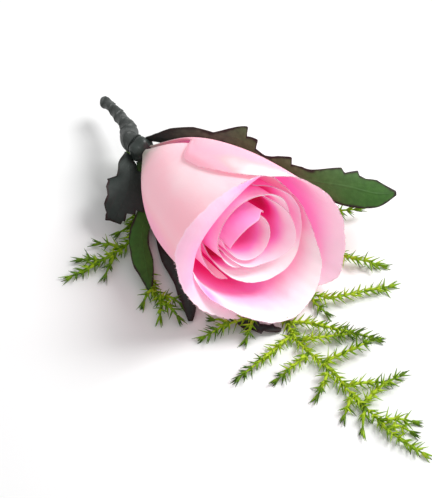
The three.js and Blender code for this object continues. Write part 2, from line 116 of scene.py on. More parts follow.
def along_stations(stations, share):
    """Each of the stations' values at a share of their list, on a smooth curve through them."""
    stations = np.array(stations, float)
    last = len(stations) - 1
    place = np.clip(share, 0, 1) * last
    index = np.minimum(place.astype(int), last - 1)
    t = (place - index)[..., None]
    before, start, end, after = (stations[np.clip(index + step, 0, last)] for step in (-1, 0, 1, 2))
    slope_start = (end - before) / 2
    slope_end = (after - start) / 2
    bend = 2 * start - 2 * end + slope_start + slope_end
    sag = -3 * start + 3 * end - 2 * slope_start - slope_end
    return np.moveaxis(((bend * t + sag) * t + slope_start) * t + start, -1, 0)


def route_points(route, shares):
    """Points at shares of a route's length, on a centripetal Catmull-Rom curve through its points."""
    knots = np.array(route, float)
    knots = np.vstack([2 * knots[0] - knots[1], knots, 2 * knots[-1] - knots[-2]])
    dense = []
    for a, b, c, d in zip(knots, knots[1:], knots[2:], knots[3:]):
        times = np.cumsum([0, *(np.linalg.norm(q - p) ** 0.5 for p, q in ((a, b), (b, c), (c, d)))])
        at = np.linspace(times[1], times[2], STRETCH_POINTS)[:-1]
        dense.append(catmull_stretch((a, b, c, d), times, at))
    dense = np.vstack([*dense, knots[-2]])
    travelled = np.concatenate([[0], np.cumsum(gaps(dense))])
    wanted = np.asarray(shares) * travelled[-1]
    return np.stack([np.interp(wanted, travelled, dense[:, k]) for k in range(3)], axis=1)


def catmull_stretch(points, times, at):
    """The curve's stretch between the second and the third of four points."""
    t = at[:, None]

    def between(one, other, i, j):
        return (one * (times[j] - t) + other * (t - times[i])) / (times[j] - times[i])

    a, b, c, d = points
    ab, bc, cd = between(a, b, 0, 1), between(b, c, 1, 2), between(c, d, 2, 3)
    return between(between(ab, bc, 0, 2), between(bc, cd, 1, 3), 1, 2)


def route_length(route):
    return float(gaps(route_points(route, np.linspace(0, 1, LENGTH_POINTS))).sum())


# --- meshes
def clear_selection():
    bpy.ops.object.select_all(action="DESELECT")


def only(piece):
    clear_selection()
    piece.select_set(True)
    bpy.context.view_layer.objects.active = piece


def read_points(mesh):
    points = np.empty(len(mesh.vertices) * 3, np.float32)
    mesh.vertices.foreach_get("co", points)
    return points.reshape(-1, 3).astype(float)


def write_points(mesh, points):
    mesh.vertices.foreach_set("co", (np.asarray(points) * MM).astype(np.float32).ravel())
    mesh.update()


def write_attribute(mesh, name, values):
    attribute = mesh.attributes.new(name, "FLOAT", "POINT")
    attribute.data.foreach_set("value", np.asarray(values, np.float32).ravel())


def apply_modifier(piece, kind, **settings):
    only(piece)
    modifier = piece.modifiers.new(kind.title(), kind)
    for setting, value in settings.items():
        setattr(modifier, setting, value)
    bpy.ops.object.modifier_apply(modifier=modifier.name)


def smooth_by_angle(piece, degrees):
    only(piece)
    bpy.ops.object.shade_smooth_by_angle(angle=math.radians(degrees))


def paint_piece(piece, material):
    piece.data.materials.clear()
    piece.data.materials.append(material)


def finish_piece(piece, material, node):
    """Paints a piece, lets it stand for the node of the same name and lets it ride on the frame."""
    paint_piece(piece, material)
    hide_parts(node)
    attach(piece, ROOT)


def add_spike(sides, foot, tip):
    """A cone 1 mm long that stands on the origin, with the radii of its foot and tip in millimetres."""
    clear_selection()
    bpy.ops.mesh.primitive_cone_add(
        vertices=sides, radius1=foot * MM, radius2=tip * MM, depth=MM, location=(0, 0, MM / 2)
    )
    bpy.ops.object.transform_apply(location=True)
    return bpy.context.active_object


def add_grid(name, columns, rows):
    """A flat grid, with the shares across and along it at its points."""
    clear_selection()
    bpy.ops.mesh.primitive_grid_add(x_subdivisions=columns, y_subdivisions=rows, size=2)
    piece = bpy.context.active_object
    piece.name = name
    flat = read_points(piece.data)
    across = (flat[:, 0].reshape(rows + 1, columns + 1) + 1) / 2
    along = (flat[:, 1].reshape(rows + 1, columns + 1) + 1) / 2
    return piece, across, along


def grid_normals(points):
    across = np.gradient(points, axis=1)
    along = np.gradient(points, axis=0)
    normals = np.cross(across, along)
    return normals / np.maximum(np.linalg.norm(normals, axis=-1, keepdims=True), 1e-9)


def press_on_surface(points, thickness, sag):
    """Keeps a sheet above the surface that it lies on, and lets it sag where it carries weight."""
    half = np.abs(grid_normals(points)[..., 2]) * thickness / 2
    lower = points[..., 2] - half
    if sag:
        lower = lower - sag * (1 - smoothstep(lower, sag, 2 * sag))
    pressed = points.copy()
    pressed[..., 2] = np.maximum(lower, 0) + np.maximum(half, np.where(lower < 0, thickness / 2, 0))
    return pressed


def edge_distances(points):
    """Millimetres from each point of a grid to its far end, and to the nearer of its two sides."""
    depth = np.vstack([np.cumsum(gaps(points)[::-1], axis=0)[::-1], np.zeros(points.shape[1])])
    left = np.hstack([np.zeros((points.shape[0], 1)), np.cumsum(gaps(points, axis=1), axis=1)])
    return depth, np.minimum(left, left[:, -1:] - left)


def lay_sheet(name, surface, columns, rows, thickness, sag=0.0):
    """Adds a sheet of fabric: a grid laid on a surface and given its thickness, outer face first."""
    piece, across, along = add_grid(name, columns, rows)
    points = press_on_surface(surface(across, along), thickness, sag)
    write_points(piece.data, points.reshape(-1, 3))
    depth, side = edge_distances(points)
    apply_modifier(piece, "SOLIDIFY", thickness=thickness * MM, offset=0.0)
    for attribute, values in {"across": across, "along": along, "depth": depth, "side": side}.items():
        write_attribute(piece.data, attribute, np.tile(values.ravel(), 2))
    write_attribute(piece.data, "inner", np.repeat([0.0, 1.0], across.size))
    smooth_by_angle(piece, 50)
    return piece, points


def place_copies(name, template, places):
    """One mesh with a copy of the template at each place, given as a 4 x 4 matrix in millimetres."""
    corners = read_points(template) / MM
    faces = [tuple(polygon.vertices) for polygon in template.polygons]
    corners = np.hstack([corners, np.ones((len(corners), 1))])
    copies = np.einsum("nij,kj->nki", np.array(places), corners)[..., :3]
    count = len(corners)
    mesh = bpy.data.meshes.new(name)
    mesh.from_pydata(
        [(0.0, 0.0, 0.0)] * (count * len(places)),
        [],
        [tuple(k * count + v for v in face) for k in range(len(places)) for face in faces],
    )
    write_points(mesh, copies.reshape(-1, 3))
    piece = bpy.data.objects.new(name, mesh)
    bpy.context.scene.collection.objects.link(piece)
    return piece


def join(pieces):
    only(pieces[0])
    for piece in pieces[1:]:
        piece.select_set(True)
    bpy.ops.object.join()
    return pieces[0]


def axes_matrix(forward, up_hint, origin, length, width):
    """A place whose third axis points forward and whose first axis leans to the hint."""
    forward = unit(forward)
    side = unit(np.cross(up_hint, forward))
    place = np.eye(4)
    place[:3, 0] = np.cross(forward, side) * width
    place[:3, 1] = side * width
    place[:3, 2] = forward * length
    place[:3, 3] = origin
    return place


# --- node materials
class Value:
    """A socket of a node tree that arithmetic can be written with."""

    def __init__(self, paint, socket):
        self.paint = paint
        self.socket = socket

    def math(self, operation, *others):
        operands = dict(enumerate((self, *others)))
        return self.paint.node("ShaderNodeMath", {"operation": operation}, operands)

    __add__ = partialmethod(math, "ADD")
    __sub__ = partialmethod(math, "SUBTRACT")
    __mul__ = partialmethod(math, "MULTIPLY")
    __truediv__ = partialmethod(math, "DIVIDE")
    __pow__ = partialmethod(math, "POWER")
    sine = partialmethod(math, "SINE")
    absolute = partialmethod(math, "ABSOLUTE")
    least = partialmethod(math, "MINIMUM")

    def __rsub__(self, other):
        return self.paint.node("ShaderNodeMath", {"operation": "SUBTRACT"}, {0: other, 1: self})

    def smooth(self, low, high, start=0.0, end=1.0):
        """The value's smooth climb from start at low to end at high."""
        values = {"Value": self, "From Min": low, "From Max": high, "To Min": start, "To Max": end}
        return self.paint.node("ShaderNodeMapRange", {"interpolation_type": "SMOOTHSTEP"}, values)


class Paint:
    """A material, and the nodes that its colours and relief are made of."""

    def __init__(self, name, **constants):
        self.material = bpy.data.materials.new(name)
        self.material.use_nodes = True
        self.tree = self.material.node_tree
        self.shader = self.tree.nodes["Principled BSDF"]
        for socket, value in constants.items():
            self.shader.inputs[socket.replace("_", " ")].default_value = value

    def node(self, kind, settings=None, values=None, output=0):
        """Adds a node of any kind: its settings are set first, then its sockets' values or links."""
        made = self.tree.nodes.new(kind)
        for setting, value in (settings or {}).items():
            setattr(made, setting, value)
        for socket, value in (values or {}).items():
            if isinstance(value, Value):
                self.tree.links.new(value.socket, made.inputs[socket])
            else:
                made.inputs[socket].default_value = value
        return Value(self, made.outputs[output])

    def attribute(self, name):
        return self.node("ShaderNodeAttribute", {"attribute_name": name}, output="Fac")

    def noise(self, scale, detail=2.0):
        """Soft noise round 0.5 that lies still in the object, with scale spots a millimetre."""
        place = self.node("ShaderNodeTexCoord", output="Object")
        values = {"Vector": place, "Scale": scale / MM, "Detail": detail}
        return self.node("ShaderNodeTexNoise", values=values, output="Fac")

    def ramp(self, factor, places, colours):
        """A colour that runs through the given ones, which stand at places from 0 to 1."""
        run = self.node("ShaderNodeValToRGB", values={"Fac": factor})
        elements = run.socket.node.color_ramp.elements
        while len(elements) < len(places):
            elements.new(1.0)
        for element, place, colour in zip(elements, places, colours):
            element.position = place
            element.color = (*colour, 1.0)
        return run

    def mix(self, factor, one, other):
        sockets = {"Factor": factor, 6: self.colour(one), 7: self.colour(other)}
        return self.node("ShaderNodeMix", {"data_type": "RGBA"}, sockets, output=2)

    def shade(self, colour, factor):
        """A colour made darker or lighter by a factor that changes over the surface."""
        grey = self.node("ShaderNodeCombineXYZ", values={0: factor, 1: factor, 2: factor})
        settings = {"data_type": "RGBA", "blend_type": "MULTIPLY"}
        return self.node("ShaderNodeMix", settings, {"Factor": 1.0, 6: self.colour(colour), 7: grey}, output=2)

    def mottled(self, colour, contrast, scale, detail=2.0):
        """A colour in soft lighter and darker spots, with scale spots a millimetre."""
        return self.shade(colour, self.noise(scale, detail) * contrast + (1 - contrast / 2))

    @staticmethod
    def colour(value):
        return value if isinstance(value, Value) else (*value, 1.0)

    def feed(self, socket, value):
        self.tree.links.new(value.socket, self.shader.inputs[socket])

    def relief(self, height, distance):
        """Raises the surface by a height of 0 to 1, times the distance in millimetres."""
        values = {"Height": height, "Distance": distance * MM}
        self.feed("Normal", self.node("ShaderNodeBump", values=values))


# --- settings
def colour_property(name, description, default):
    return bpy.props.FloatVectorProperty(
        name=name, description=description, default=default, size=3, min=0, max=1, subtype="COLOR"
    )


def length_property(name, description, default):
    return bpy.props.FloatProperty(
        name=name, description=description, default=default * MM, min=0, unit="LENGTH", precision=5
    )


class PetalSettings(bpy.types.PropertyGroup):
    """Cloth and dye of the petals."""

    thickness: length_property("Thickness", "Thickness of the petal cloth", 0.28)
    mesh_step: length_property("Mesh step", "Distance between the points of a petal's mesh", 0.62)
    thread_pitch: length_property("Thread pitch", "Distance between the threads of the cloth", 0.42)
    ripple: length_property("Ripple", "How far a petal's rim waves out and in", 0.3)
    fibre_length: length_property("Fibre length", "Longest loose fibre at a cut rim", 0.75)
    cream: colour_property("Cream", "Undyed rim", (0.90, 0.83, 0.84))
    blush: colour_property("Blush", "Palest dyed cloth", (0.93, 0.53, 0.69))
    salmon: colour_property("Salmon", "Palest dyed cloth on the outside of the bloom", (0.91, 0.46, 0.50))
    pink: colour_property("Pink", "Middle of the dye's run", (0.94, 0.23, 0.58))
    rose: colour_property("Rose", "Deep dye", (0.79, 0.014, 0.22))
    # deep dye, and painted shade where it stands in the narrowest gaps between petals
    crimson: colour_property("Crimson", "Dye in the narrowest gaps", (0.46, 0.002, 0.05))
    # partly the sealed cut's own tone, mostly painted shade: a dark line along each rim
    cut: colour_property("Cut", "Sealed edge of the cut cloth", (0.45, 0.22, 0.32))
    # painted shade: this greenish grey darkens each petal's foot, where the sepals shade it
    foot: colour_property("Foot", "Greenish shade at a petal's foot", (0.34, 0.34, 0.29))


class SepalSettings(bpy.types.PropertyGroup):
    """Cloth and colours of the sepals."""

    thickness: length_property("Thickness", "Thickness of the sepal cloth", 0.4)
    mesh_step: length_property("Mesh step", "Distance between the points of a sepal's mesh", 0.35)
    slate: colour_property("Slate", "Dark satin at the foot and on the knob", (0.027, 0.036, 0.032))
    leaf: colour_property("Leaf", "Green of the open blade", (0.036, 0.118, 0.012))
    # painted sheen: a lighter, greyer colour laid on the middle of the long blade where the satin catches the
    # light
    sheen_grey: colour_property("Faded", "Worn middle of the long blade", (0.13, 0.14, 0.085))
    maroon: colour_property("Maroon", "Burnt colour of the edges", (0.022, 0.007, 0.008))


class StemSettings(bpy.types.PropertyGroup):
    """The wound stem and its wire."""

    tape_width: length_property("Tape width", "Distance between two windings of the tape", 5.2)
    tape_step: length_property("Tape step", "Height of the edge that a winding leaves", 0.42)
    tape: colour_property("Tape", "Colour of the stem tape", (0.038, 0.044, 0.041))
    wire: colour_property("Wire", "Colour of the stem wire", (0.30, 0.33, 0.30))


class FernSettings(bpy.types.PropertyGroup):
    """The needled sprays."""

    needle_length: length_property("Needle length", "Length of a middling needle", 4.0)
    needle_width: length_property("Needle width", "Width of a needle near its foot", 1.25)
    tuft_step: length_property("Tuft step", "Distance between two tufts of needles", 2.1)
    stem_width: length_property("Stem width", "Thickness of a spray's stem at its foot", 1.4)
    dark: colour_property("Dark green", "Shaded needles and old stems", (0.05, 0.11, 0.015))
    bright: colour_property("Bright green", "Fresh needles", (0.20, 0.36, 0.012))
    lime: colour_property("Lime", "Young wood and needle feet", (0.46, 0.62, 0.035))


class StageSettings(bpy.types.PropertyGroup):
    """Floor, light and camera."""

    floor: colour_property("Floor", "Colour of the floor", (0.93, 0.93, 0.93))
    sky: bpy.props.FloatProperty(name="Sky", description="Strength of the even light", default=0.58, min=0)
    key: bpy.props.FloatProperty(
        name="Key light", description="Power of the large lamp", default=4.0, min=0, unit="POWER"
    )
    camera_turn: bpy.props.FloatProperty(
        name="Camera turn", description="Angle round the part", default=math.radians(-44.4), subtype="ANGLE"
    )
    camera_height: bpy.props.FloatProperty(
        name="Camera height", description="Angle above the floor", default=math.radians(56.5), subtype="ANGLE"
    )
    camera_distance: length_property("Camera distance", "From the camera to its aim", 545)
    lens: bpy.props.FloatProperty(
        name="Lens", description="Focal length", default=133.3, min=1, subtype="DISTANCE_CAMERA"
    )


# --- petals
WIRE_RADIUS = 1.2
PETAL_CORE = WIRE_RADIUS + 0.65
CUP_SPREAD = 17
CUP_POWER = 1.15
LIP_ROWS = 0.3
RIM_FRAY = 0.1
FIBRE_HOLD = 0.25
FIBRE_WIDTH = 0.16
FIBRE_LEAN = 0.8
FIBRE_LIFT = 0.3
FIBRE_SHIFT = 0.3
FIBRE_SHORTEST = 0.35

# foot: height where the petal starts; spread: climb in which its cup opens; bulge: its belly;
# claw: share of its turn at the foot; sag: how far it flattens where it lies;
# tuck: degrees that its last side turns in, below one height and fading up to another;
# outer, inner: each face's dye at the rim and in the depth, and the way over which it deepens;
# zones: face, place across and along, half width, half length, change of dye, which in some zones is painted
# highlight or painted shade;
# salmon: share of that colour outside; fray: cloth lost at the rim; fibres: number of loose threads;
# rim: stations of [turn, radius, height, length of the lip, degrees the lip bends out]
PETALS = {
    "heart_petal_back": {
        "foot": 16, "spread": 12, "claw": 0.4,
        "outer": (0.42, 0.82, 14), "inner": (0.2, 0.9, 9),
        "rim": [
            [-106, 8.7, 44, 5, 4], [-70, 8.2, 47.5, 5, 4], [-20, 7.7, 49.3, 5.5, 6],
            [30, 7.9, 50, 5, 6], [80, 7.5, 49.5, 4, 6], [128, 7.1, 47, 4, 4],
        ],
    },
    "heart_petal_front": {
        "foot": 16, "spread": 12, "claw": 0.4,
        "outer": (0.5, 0.72, 12), "inner": (0.4, 1.0, 7),
        "rim": [
            [104, 8.7, 46, 4, 4], [142, 8.7, 48.6, 4, 4], [165, 8.3, 51, 4, 3],
            [200, 7.9, 50.5, 4, 3], [235, 7.9, 49.3, 4, 3], [268, 7.7, 47.5, 4, 3],
        ],
    },
    "inner_petal_back": {
        "foot": 13, "spread": 14, "claw": 0.5,
        "outer": (0.4, 0.85, 14), "inner": (0.18, 0.92, 13),
        "zones": [("inner", 0.82, 0.54, 0.14, 0.24, 0.3)],
        "rim": [
            [-86, 9.5, 45, 5, 8], [-50, 9.3, 49.5, 5, 10], [0, 10.4, 51, 5.5, 18],
            [30, 12, 53, 6, 20], [60, 13.2, 54.5, 6, 20], [95, 13.7, 50, 6, 10], [128, 12.9, 46, 5, 2],
        ],
    },
    "inner_petal_front": {
        "foot": 11, "spread": 14, "claw": 0.55, "bulge": 0.4,
        "outer": (0.3, 0.9, 12), "inner": (0.08, 0.95, 12),
        "rim": [
            [88, 15.1, 50, 5, 14], [118, 14.8, 49.4, 4.5, 30], [150, 13.8, 48.3, 4.5, 50],
            [185, 13.3, 47.2, 4.5, 60], [215, 13.1, 47, 4.5, 60], [245, 12.7, 47.6, 4.5, 45],
            [275, 11.5, 48.2, 4.5, 20], [318, 10.6, 50.3, 4, 10],
        ],
    },
    "middle_petal_back": {
        "foot": 9, "spread": 16, "claw": 0.5,
        "outer": (0.85, 1.0, 16), "inner": (0.3, 1.0, 16),
        # the second zone deepens the dye towards crimson: painted shade in the gap between the middle and inner
        # petals
        "zones": [("inner", 0.34, 0.95, 0.3, 0.5, -0.95), ("inner", 0.22, 0.5, 0.18, 0.27, 0.5)],
        "rim": [
            [-104, 13.9, 41, 5, 8], [-70, 13.6, 46.5, 5, 10], [-35, 14.6, 50.5, 5, 14],
            [0, 15.6, 53.5, 6, 20], [30, 16.2, 54, 7, 22], [60, 16.8, 52.5, 7, 20],
            [95, 17.4, 50.5, 6, 16], [125, 17.5, 49, 5, 12], [155, 16.8, 45, 4, 8],
        ],
    },
    "middle_petal_front": {
        "foot": 7, "spread": 17, "claw": 0.55, "bulge": 0.4,
        "outer": (0.3, 0.7, 12), "inner": (0.1, 0.7, 12),
        "zones": [("inner", 0.98, 0.72, 0.14, 0.3, -0.25)],
        "rim": [
            [150, 18.2, 41, 4, 6], [185, 17.8, 42, 4, 6], [220, 17.2, 42, 4, 6],
            [255, 16.9, 43.5, 4, 8], [285, 16.5, 46, 4, 10], [322, 16.9, 47, 4, 6],
        ],
    },
    "back_petal": {
        "foot": 2, "spread": CUP_SPREAD, "claw": 0.6, "bulge": 0.4, "sag": 1.6,
        "outer": (0.2, 0.42, 30), "inner": (-0.01, 1.0, 34),
        "zones": [("inner", 0.86, 0.85, 0.16, 0.45, 0.42), ("inner", 0.12, 0.95, 0.16, 0.3, 0.5)],
        "fray": 0.3, "fibres": 50,
        "rim": [
            [-88, 21, 43.5, 8, 34], [-72, 21.6, 47.5, 8.5, 30], [-58, 22, 51.5, 9, 18], [-40, 22.3, 58.5, 9, 6],
            [-8, 22.6, 64, 9, 8], [20, 22.6, 63, 9, 8], [45, 22.2, 59, 9, 8], [65, 21, 54, 8, 6],
            [90, 20.2, 49, 6, 4], [118, 19.6, 42, 5, 2],
        ],
    },
    "front_petal": {
        "foot": 0.5, "spread": CUP_SPREAD, "claw": 0.65,
        "salmon": 0.7, "outer": (0.26, 0.26, 30), "inner": (0.3, 0.55, 14),
        "zones": [
            # the first outer zone pales the dye: partly bleached cloth, partly painted highlight where the lamp
            # falls; the second deepens it as painted shade on the shaded left flank
            ("outer", 0.24, 0.5, 0.15, 0.3, -0.1), ("outer", 0.68, 0.35, 0.2, 0.4, 0.14),
            ("inner", 0.84, 0.9, 0.3, 0.3, -0.18), ("inner", 0.08, 0.95, 0.18, 0.4, 0.22),
        ],
        "fray": 0.45, "fibres": 110,
        "rim": [
            [142, 20.8, 47, 3, 20], [170, 20.7, 49.5, 4, 120], [190, 20.8, 50, 7, 165],
            [214, 20.7, 48.9, 10.7, 170], [238, 21.2, 47.3, 13.5, 165], [258, 21.4, 46, 13.2, 112],
            [275, 22.2, 46, 11, 82], [297, 22.7, 48.6, 10.5, 60], [318, 23, 52, 9.5, 44],
            [335, 22.9, 52.5, 9.5, 44],
        ],
    },
    "side_petal": {
        "foot": -1, "spread": CUP_SPREAD, "claw": 0.65, "tuck": (50, 12, 26),
        "salmon": 1.0, "outer": (0.37, 0.37, 24), "inner": (0.2, 0.66, 26),
        # partly bleached cloth, partly painted highlight: the zone pales the outside of the flap where the lamp
        # falls on it
        "zones": [("outer", 0.68, 0.84, 0.16, 0.36, -0.3)],
        "fray": 0.5, "fibres": 90,
        "rim": [
            [27, 24.5, 60, 10, 4], [42, 24.8, 64.5, 10, 6], [60, 25, 63, 10, 6], [85, 25.1, 60, 9, 8],
            [108, 24.9, 56.5, 8, 12], [132, 23.6, 52, 6, 18], [152, 22.6, 48.8, 5, 12],
            [166, 21.7, 43, 4, 4], [176, 21.1, 37, 3, 0.5], [183, 19.4, 30, 2, 0.5],
        ],
    },
}


# a rim's ripples: radians a degree of turn, height, and times the petal's own phase
RIPPLES = ((0.11, 1, 1), (0.27, 0.6, 2), (0.61, 0.3, 0))
RIPPLE_START = 0.45
RIPPLE_RADIUS = 22
RIPPLE_RISE = 0.4


def rim_span(petal):
    """How far a petal reaches round the bud, in radians."""
    return math.radians(abs(petal["rim"][-1][0] - petal["rim"][0][0]))


def cup_share(rise, spread):
    return 1 - np.exp(-((np.maximum(rise, 0) / spread) ** CUP_POWER))


def cup_radius(petal, height, rim_radius, rim_height):
    """How far a petal stands from the bud's axis at a height under its rim."""
    foot, spread = petal["foot"], petal["spread"]
    share = cup_share(height - foot, spread) / cup_share(rim_height - foot, spread)
    belly = np.sin(math.pi * np.clip((height - foot) / (rim_height - foot), 0, 1))
    return PETAL_CORE + (rim_radius - PETAL_CORE) * share + petal.get("bulge", 0) * belly


def petal_points(petal, ripple, across, along):
    """A petal's middle surface: a cup that climbs to the rim, and a lip that bends out of it."""
    rim, foot, claw = petal["rim"], petal["foot"], petal["claw"]
    turn, radius, height, lip_length, lip_bend = along_stations(rim, across)
    middle = (rim[0][0] + rim[-1][0]) / 2
    climb = np.minimum(along / (1 - LIP_ROWS), 1)
    wrap = claw + (1 - claw) * smoothstep(climb * (height - foot), 0, petal["spread"])
    held_turn = middle + (turn - middle) * wrap
    level = foot + climb * (height - foot)
    cup = cup_radius(petal, level, radius, height)
    lean = np.arctan(radius - cup_radius(petal, height - 1, radius, height))
    bend = np.radians(lip_bend)
    reach = lean + bend * np.maximum(along - 1 + LIP_ROWS, 0) / LIP_ROWS
    curl = lip_length / bend
    lip_radius = radius + curl * (np.cos(lean) - np.cos(reach))
    lip_height = height + curl * (np.sin(reach) - np.sin(lean))
    in_cup = climb < 1
    if "tuck" in petal:
        degrees, low, high = petal["tuck"]
        held_turn = held_turn - degrees * (1 - smoothstep(level, low, high)) * smoothstep(across, 0.5, 1)
    phase = foot + rim[0][1]
    wave = sum(share * np.sin(turn * rate + shift * phase) for rate, share, shift in RIPPLES)
    rippled = ripple / MM * 0.5 * wave * smoothstep(along, RIPPLE_START, 1) * (radius / RIPPLE_RADIUS) ** 2
    return bud_point(
        held_turn,
        np.where(in_cup, cup, lip_radius) + rippled,
        np.where(in_cup, level, lip_height) + RIPPLE_RISE * rippled,
    )


def add_petal(name, petal, settings):
    rim = petal["rim"]
    width = rim_span(petal) * max(station[1] for station in rim)
    length = max(station[2] + station[3] for station in rim) - petal["foot"]
    step = settings.mesh_step / MM
    dice = np.random.default_rng(len(rim))

    def surface(across, along):
        points = petal_points(petal, settings.ripple, across, along)
        inward = unit(points[-2] - points[-1])
        points[-1] += inward * petal.get("fray", RIM_FRAY) * dice.uniform(0, 1, (len(inward), 1)) ** 2
        return points

    piece, points = lay_sheet(
        name, surface, round(width / step), round(length / step), settings.thickness / MM, petal.get("sag", 0)
    )
    if "fibres" in petal:
        piece = join([piece, add_fibres(name, points, petal["fibres"], settings, dice)])
    finish_piece(piece, silk(name, petal, settings), name)


def add_fibres(name, points, count, settings, dice):
    """Loose threads that stand out of a petal's cut rim."""
    thread = add_spike(3, foot=0.5, tip=0.1)
    columns = dice.integers(1, points.shape[1] - 1, count)
    places = []
    for column in columns:
        rim = points[-1, column]
        out = unit(rim - points[-2, column])
        aside = unit(points[-1, column + 1] - points[-1, column - 1])
        lean = out + aside * dice.uniform(-FIBRE_LEAN, FIBRE_LEAN)
        lean = lean + np.cross(out, aside) * dice.uniform(-FIBRE_LIFT, FIBRE_LIFT)
        length = settings.fibre_length / MM * dice.uniform(FIBRE_SHORTEST, 1)
        foot = rim - out * FIBRE_HOLD + aside * dice.uniform(-FIBRE_SHIFT, FIBRE_SHIFT)
        places.append(axes_matrix(lean, aside, foot, length + FIBRE_HOLD, FIBRE_WIDTH))
    fibres = place_copies(name + "_fibres", thread.data, places)
    corners = len(thread.data.vertices)
    write_attribute(fibres.data, "across", np.repeat(columns / (points.shape[1] - 1), corners))
    write_attribute(fibres.data, "along", np.ones(count * corners))
    bpy.data.objects.remove(thread)
    return fibres


# the dye's drift in spots a millimetre, and how far it moves the edges in millimetres, the zones' edges
# and the amount. The colours from cream to crimson stand at places in the dye's range
DRIFT_SCALE = 0.06
EDGE_DRIFT = 8
ZONE_DRIFT = 0.8
AMOUNT_DRIFT = 0.1
ZONE_CORE = 0.2
DYE_RANGE = 0.8
DYE_PLACES = (0, 0.24, 0.5, 0.8, 1)
# shares of the length where the greenish painted shade at a petal's foot ends and starts, millimetres over which
# the paler rim fades, and the radius at which the threads are counted
# strength of the petals' painted glow: the cloth gives off its own colours as painted light
PAINTED_GLOW = 0.24
PAINTED_FOOT_SHADE = (0.2, 0.02)
PALE_RIM = (0.05, 0.9)
PALE_RIM_SHARE = 0.15
CUT_SHADOW_SHARE = 0.85
THREAD_RADIUS = 20


def dye_amount(paint, petal, drift):
    """How much dye each face holds: more with the depth, and more or less in the petal's zones, some of which
    paint highlight or shade.
    """
    depth, inner = paint.attribute("depth"), paint.attribute("inner")
    across, along = paint.attribute("across"), paint.attribute("along")

    def dye(rim, deep, reach):
        return (depth + drift * EDGE_DRIFT).smooth(0, reach, rim, deep)

    faces = {"outer": dye(*petal["outer"]), "inner": dye(*petal["inner"])}
    for face, centre, height, half_width, half_length, change in petal.get("zones", []):
        sideways = (across - centre) / half_width
        upwards = (along - height) / half_length
        distance = (sideways * sideways + upwards * upwards) ** 0.5 + drift * ZONE_DRIFT
        faces[face] = faces[face] + distance.smooth(ZONE_CORE, 1.0, change, 0)
    return inner * faces["inner"] + (1 - inner) * faces["outer"] + drift * AMOUNT_DRIFT


def dyed_cloth(paint, petal, settings):
    """The dye's colours, with a greenish painted shade at the foot, a paler rim, and the sealed edge of the cut
    darkened as a painted shadow line.
    """
    depth, inner = paint.attribute("depth"), paint.attribute("inner")
    drift = paint.noise(DRIFT_SCALE, detail=3.0) - 0.5
    amount = dye_amount(paint, petal, drift) * DYE_RANGE

    def run_of_dye(pale):
        # crimson, the last colour, is deep dye and painted shade for the narrowest gaps
        colours = (settings.cream, pale, settings.pink, settings.rose, settings.crimson)
        return paint.ramp(amount, DYE_PLACES, colours)

    cloth = run_of_dye(settings.blush)
    if "salmon" in petal:
        cloth = paint.mix((1 - inner) * petal["salmon"], cloth, run_of_dye(settings.salmon))
    # painted shade at each petal's foot, next to the sepals
    foot = paint.attribute("along").smooth(*PAINTED_FOOT_SHADE) * (drift * 1.5 + 0.75)
    cloth = paint.mix(foot, cloth, settings.foot)
    rim = 1 - depth.least(paint.attribute("side")).smooth(*PALE_RIM)
    cloth = paint.mix(rim * PALE_RIM_SHARE, cloth, settings.cream)
    # from 0 on both faces to 1 halfway through the sheet. The cut edge is darkened: partly the sealed cut's own
    # tone, mostly a painted shadow line along each rim
    cut = (inner * (1 - inner) * 4).smooth(0.1, 0.6)
    return paint.mix(cut * CUT_SHADOW_SHARE, cloth, settings.cut)


def silk(name, petal, settings):
    """Dyed petal cloth with a painted glow in its own colours, standing in for light through the thin silk: cream
    at the cut rim and rose in the depth of the bloom.
    """
    paint = Paint(
        name + "_silk", Roughness=0.85, Specular_IOR_Level=0.2, Sheen_Weight=0.1, Sheen_Roughness=0.5,
        Subsurface_Weight=0.45, Subsurface_Scale=0.001, Subsurface_Radius=(1.0, 0.7, 0.75),
        Emission_Strength=PAINTED_GLOW,
    )
    cloth = dyed_cloth(paint, petal, settings)
    # painted glow: the cloth's colours are given off as light, standing in for light through the silk
    paint.feed("Emission Color", cloth)
    pitch = settings.thread_pitch / MM
    width = rim_span(petal) * THREAD_RADIUS
    warp = (paint.attribute("across") * (width * 2 * math.pi / pitch)).sine()
    weft = (paint.attribute("depth") * (2 * math.pi / pitch)).sine()
    weave = warp * weft * 0.5 + 0.5
    paint.feed("Base Color", paint.shade(cloth, weave * 0.06 + 0.95))
    paint.relief(weave + paint.noise(1.2) * 0.8, distance=0.06)
    return paint.material


class CORSAGE_OT_add_petals(bpy.types.Operator):
    """Add the nine silk petals of the bloom"""

    bl_idname = "corsage.add_petals"
    bl_label = "Add petals"

    def execute(self, context):
        for name, petal in PETALS.items():
            add_petal(name, petal, context.scene.corsage_petals)
        return {"FINISHED"}
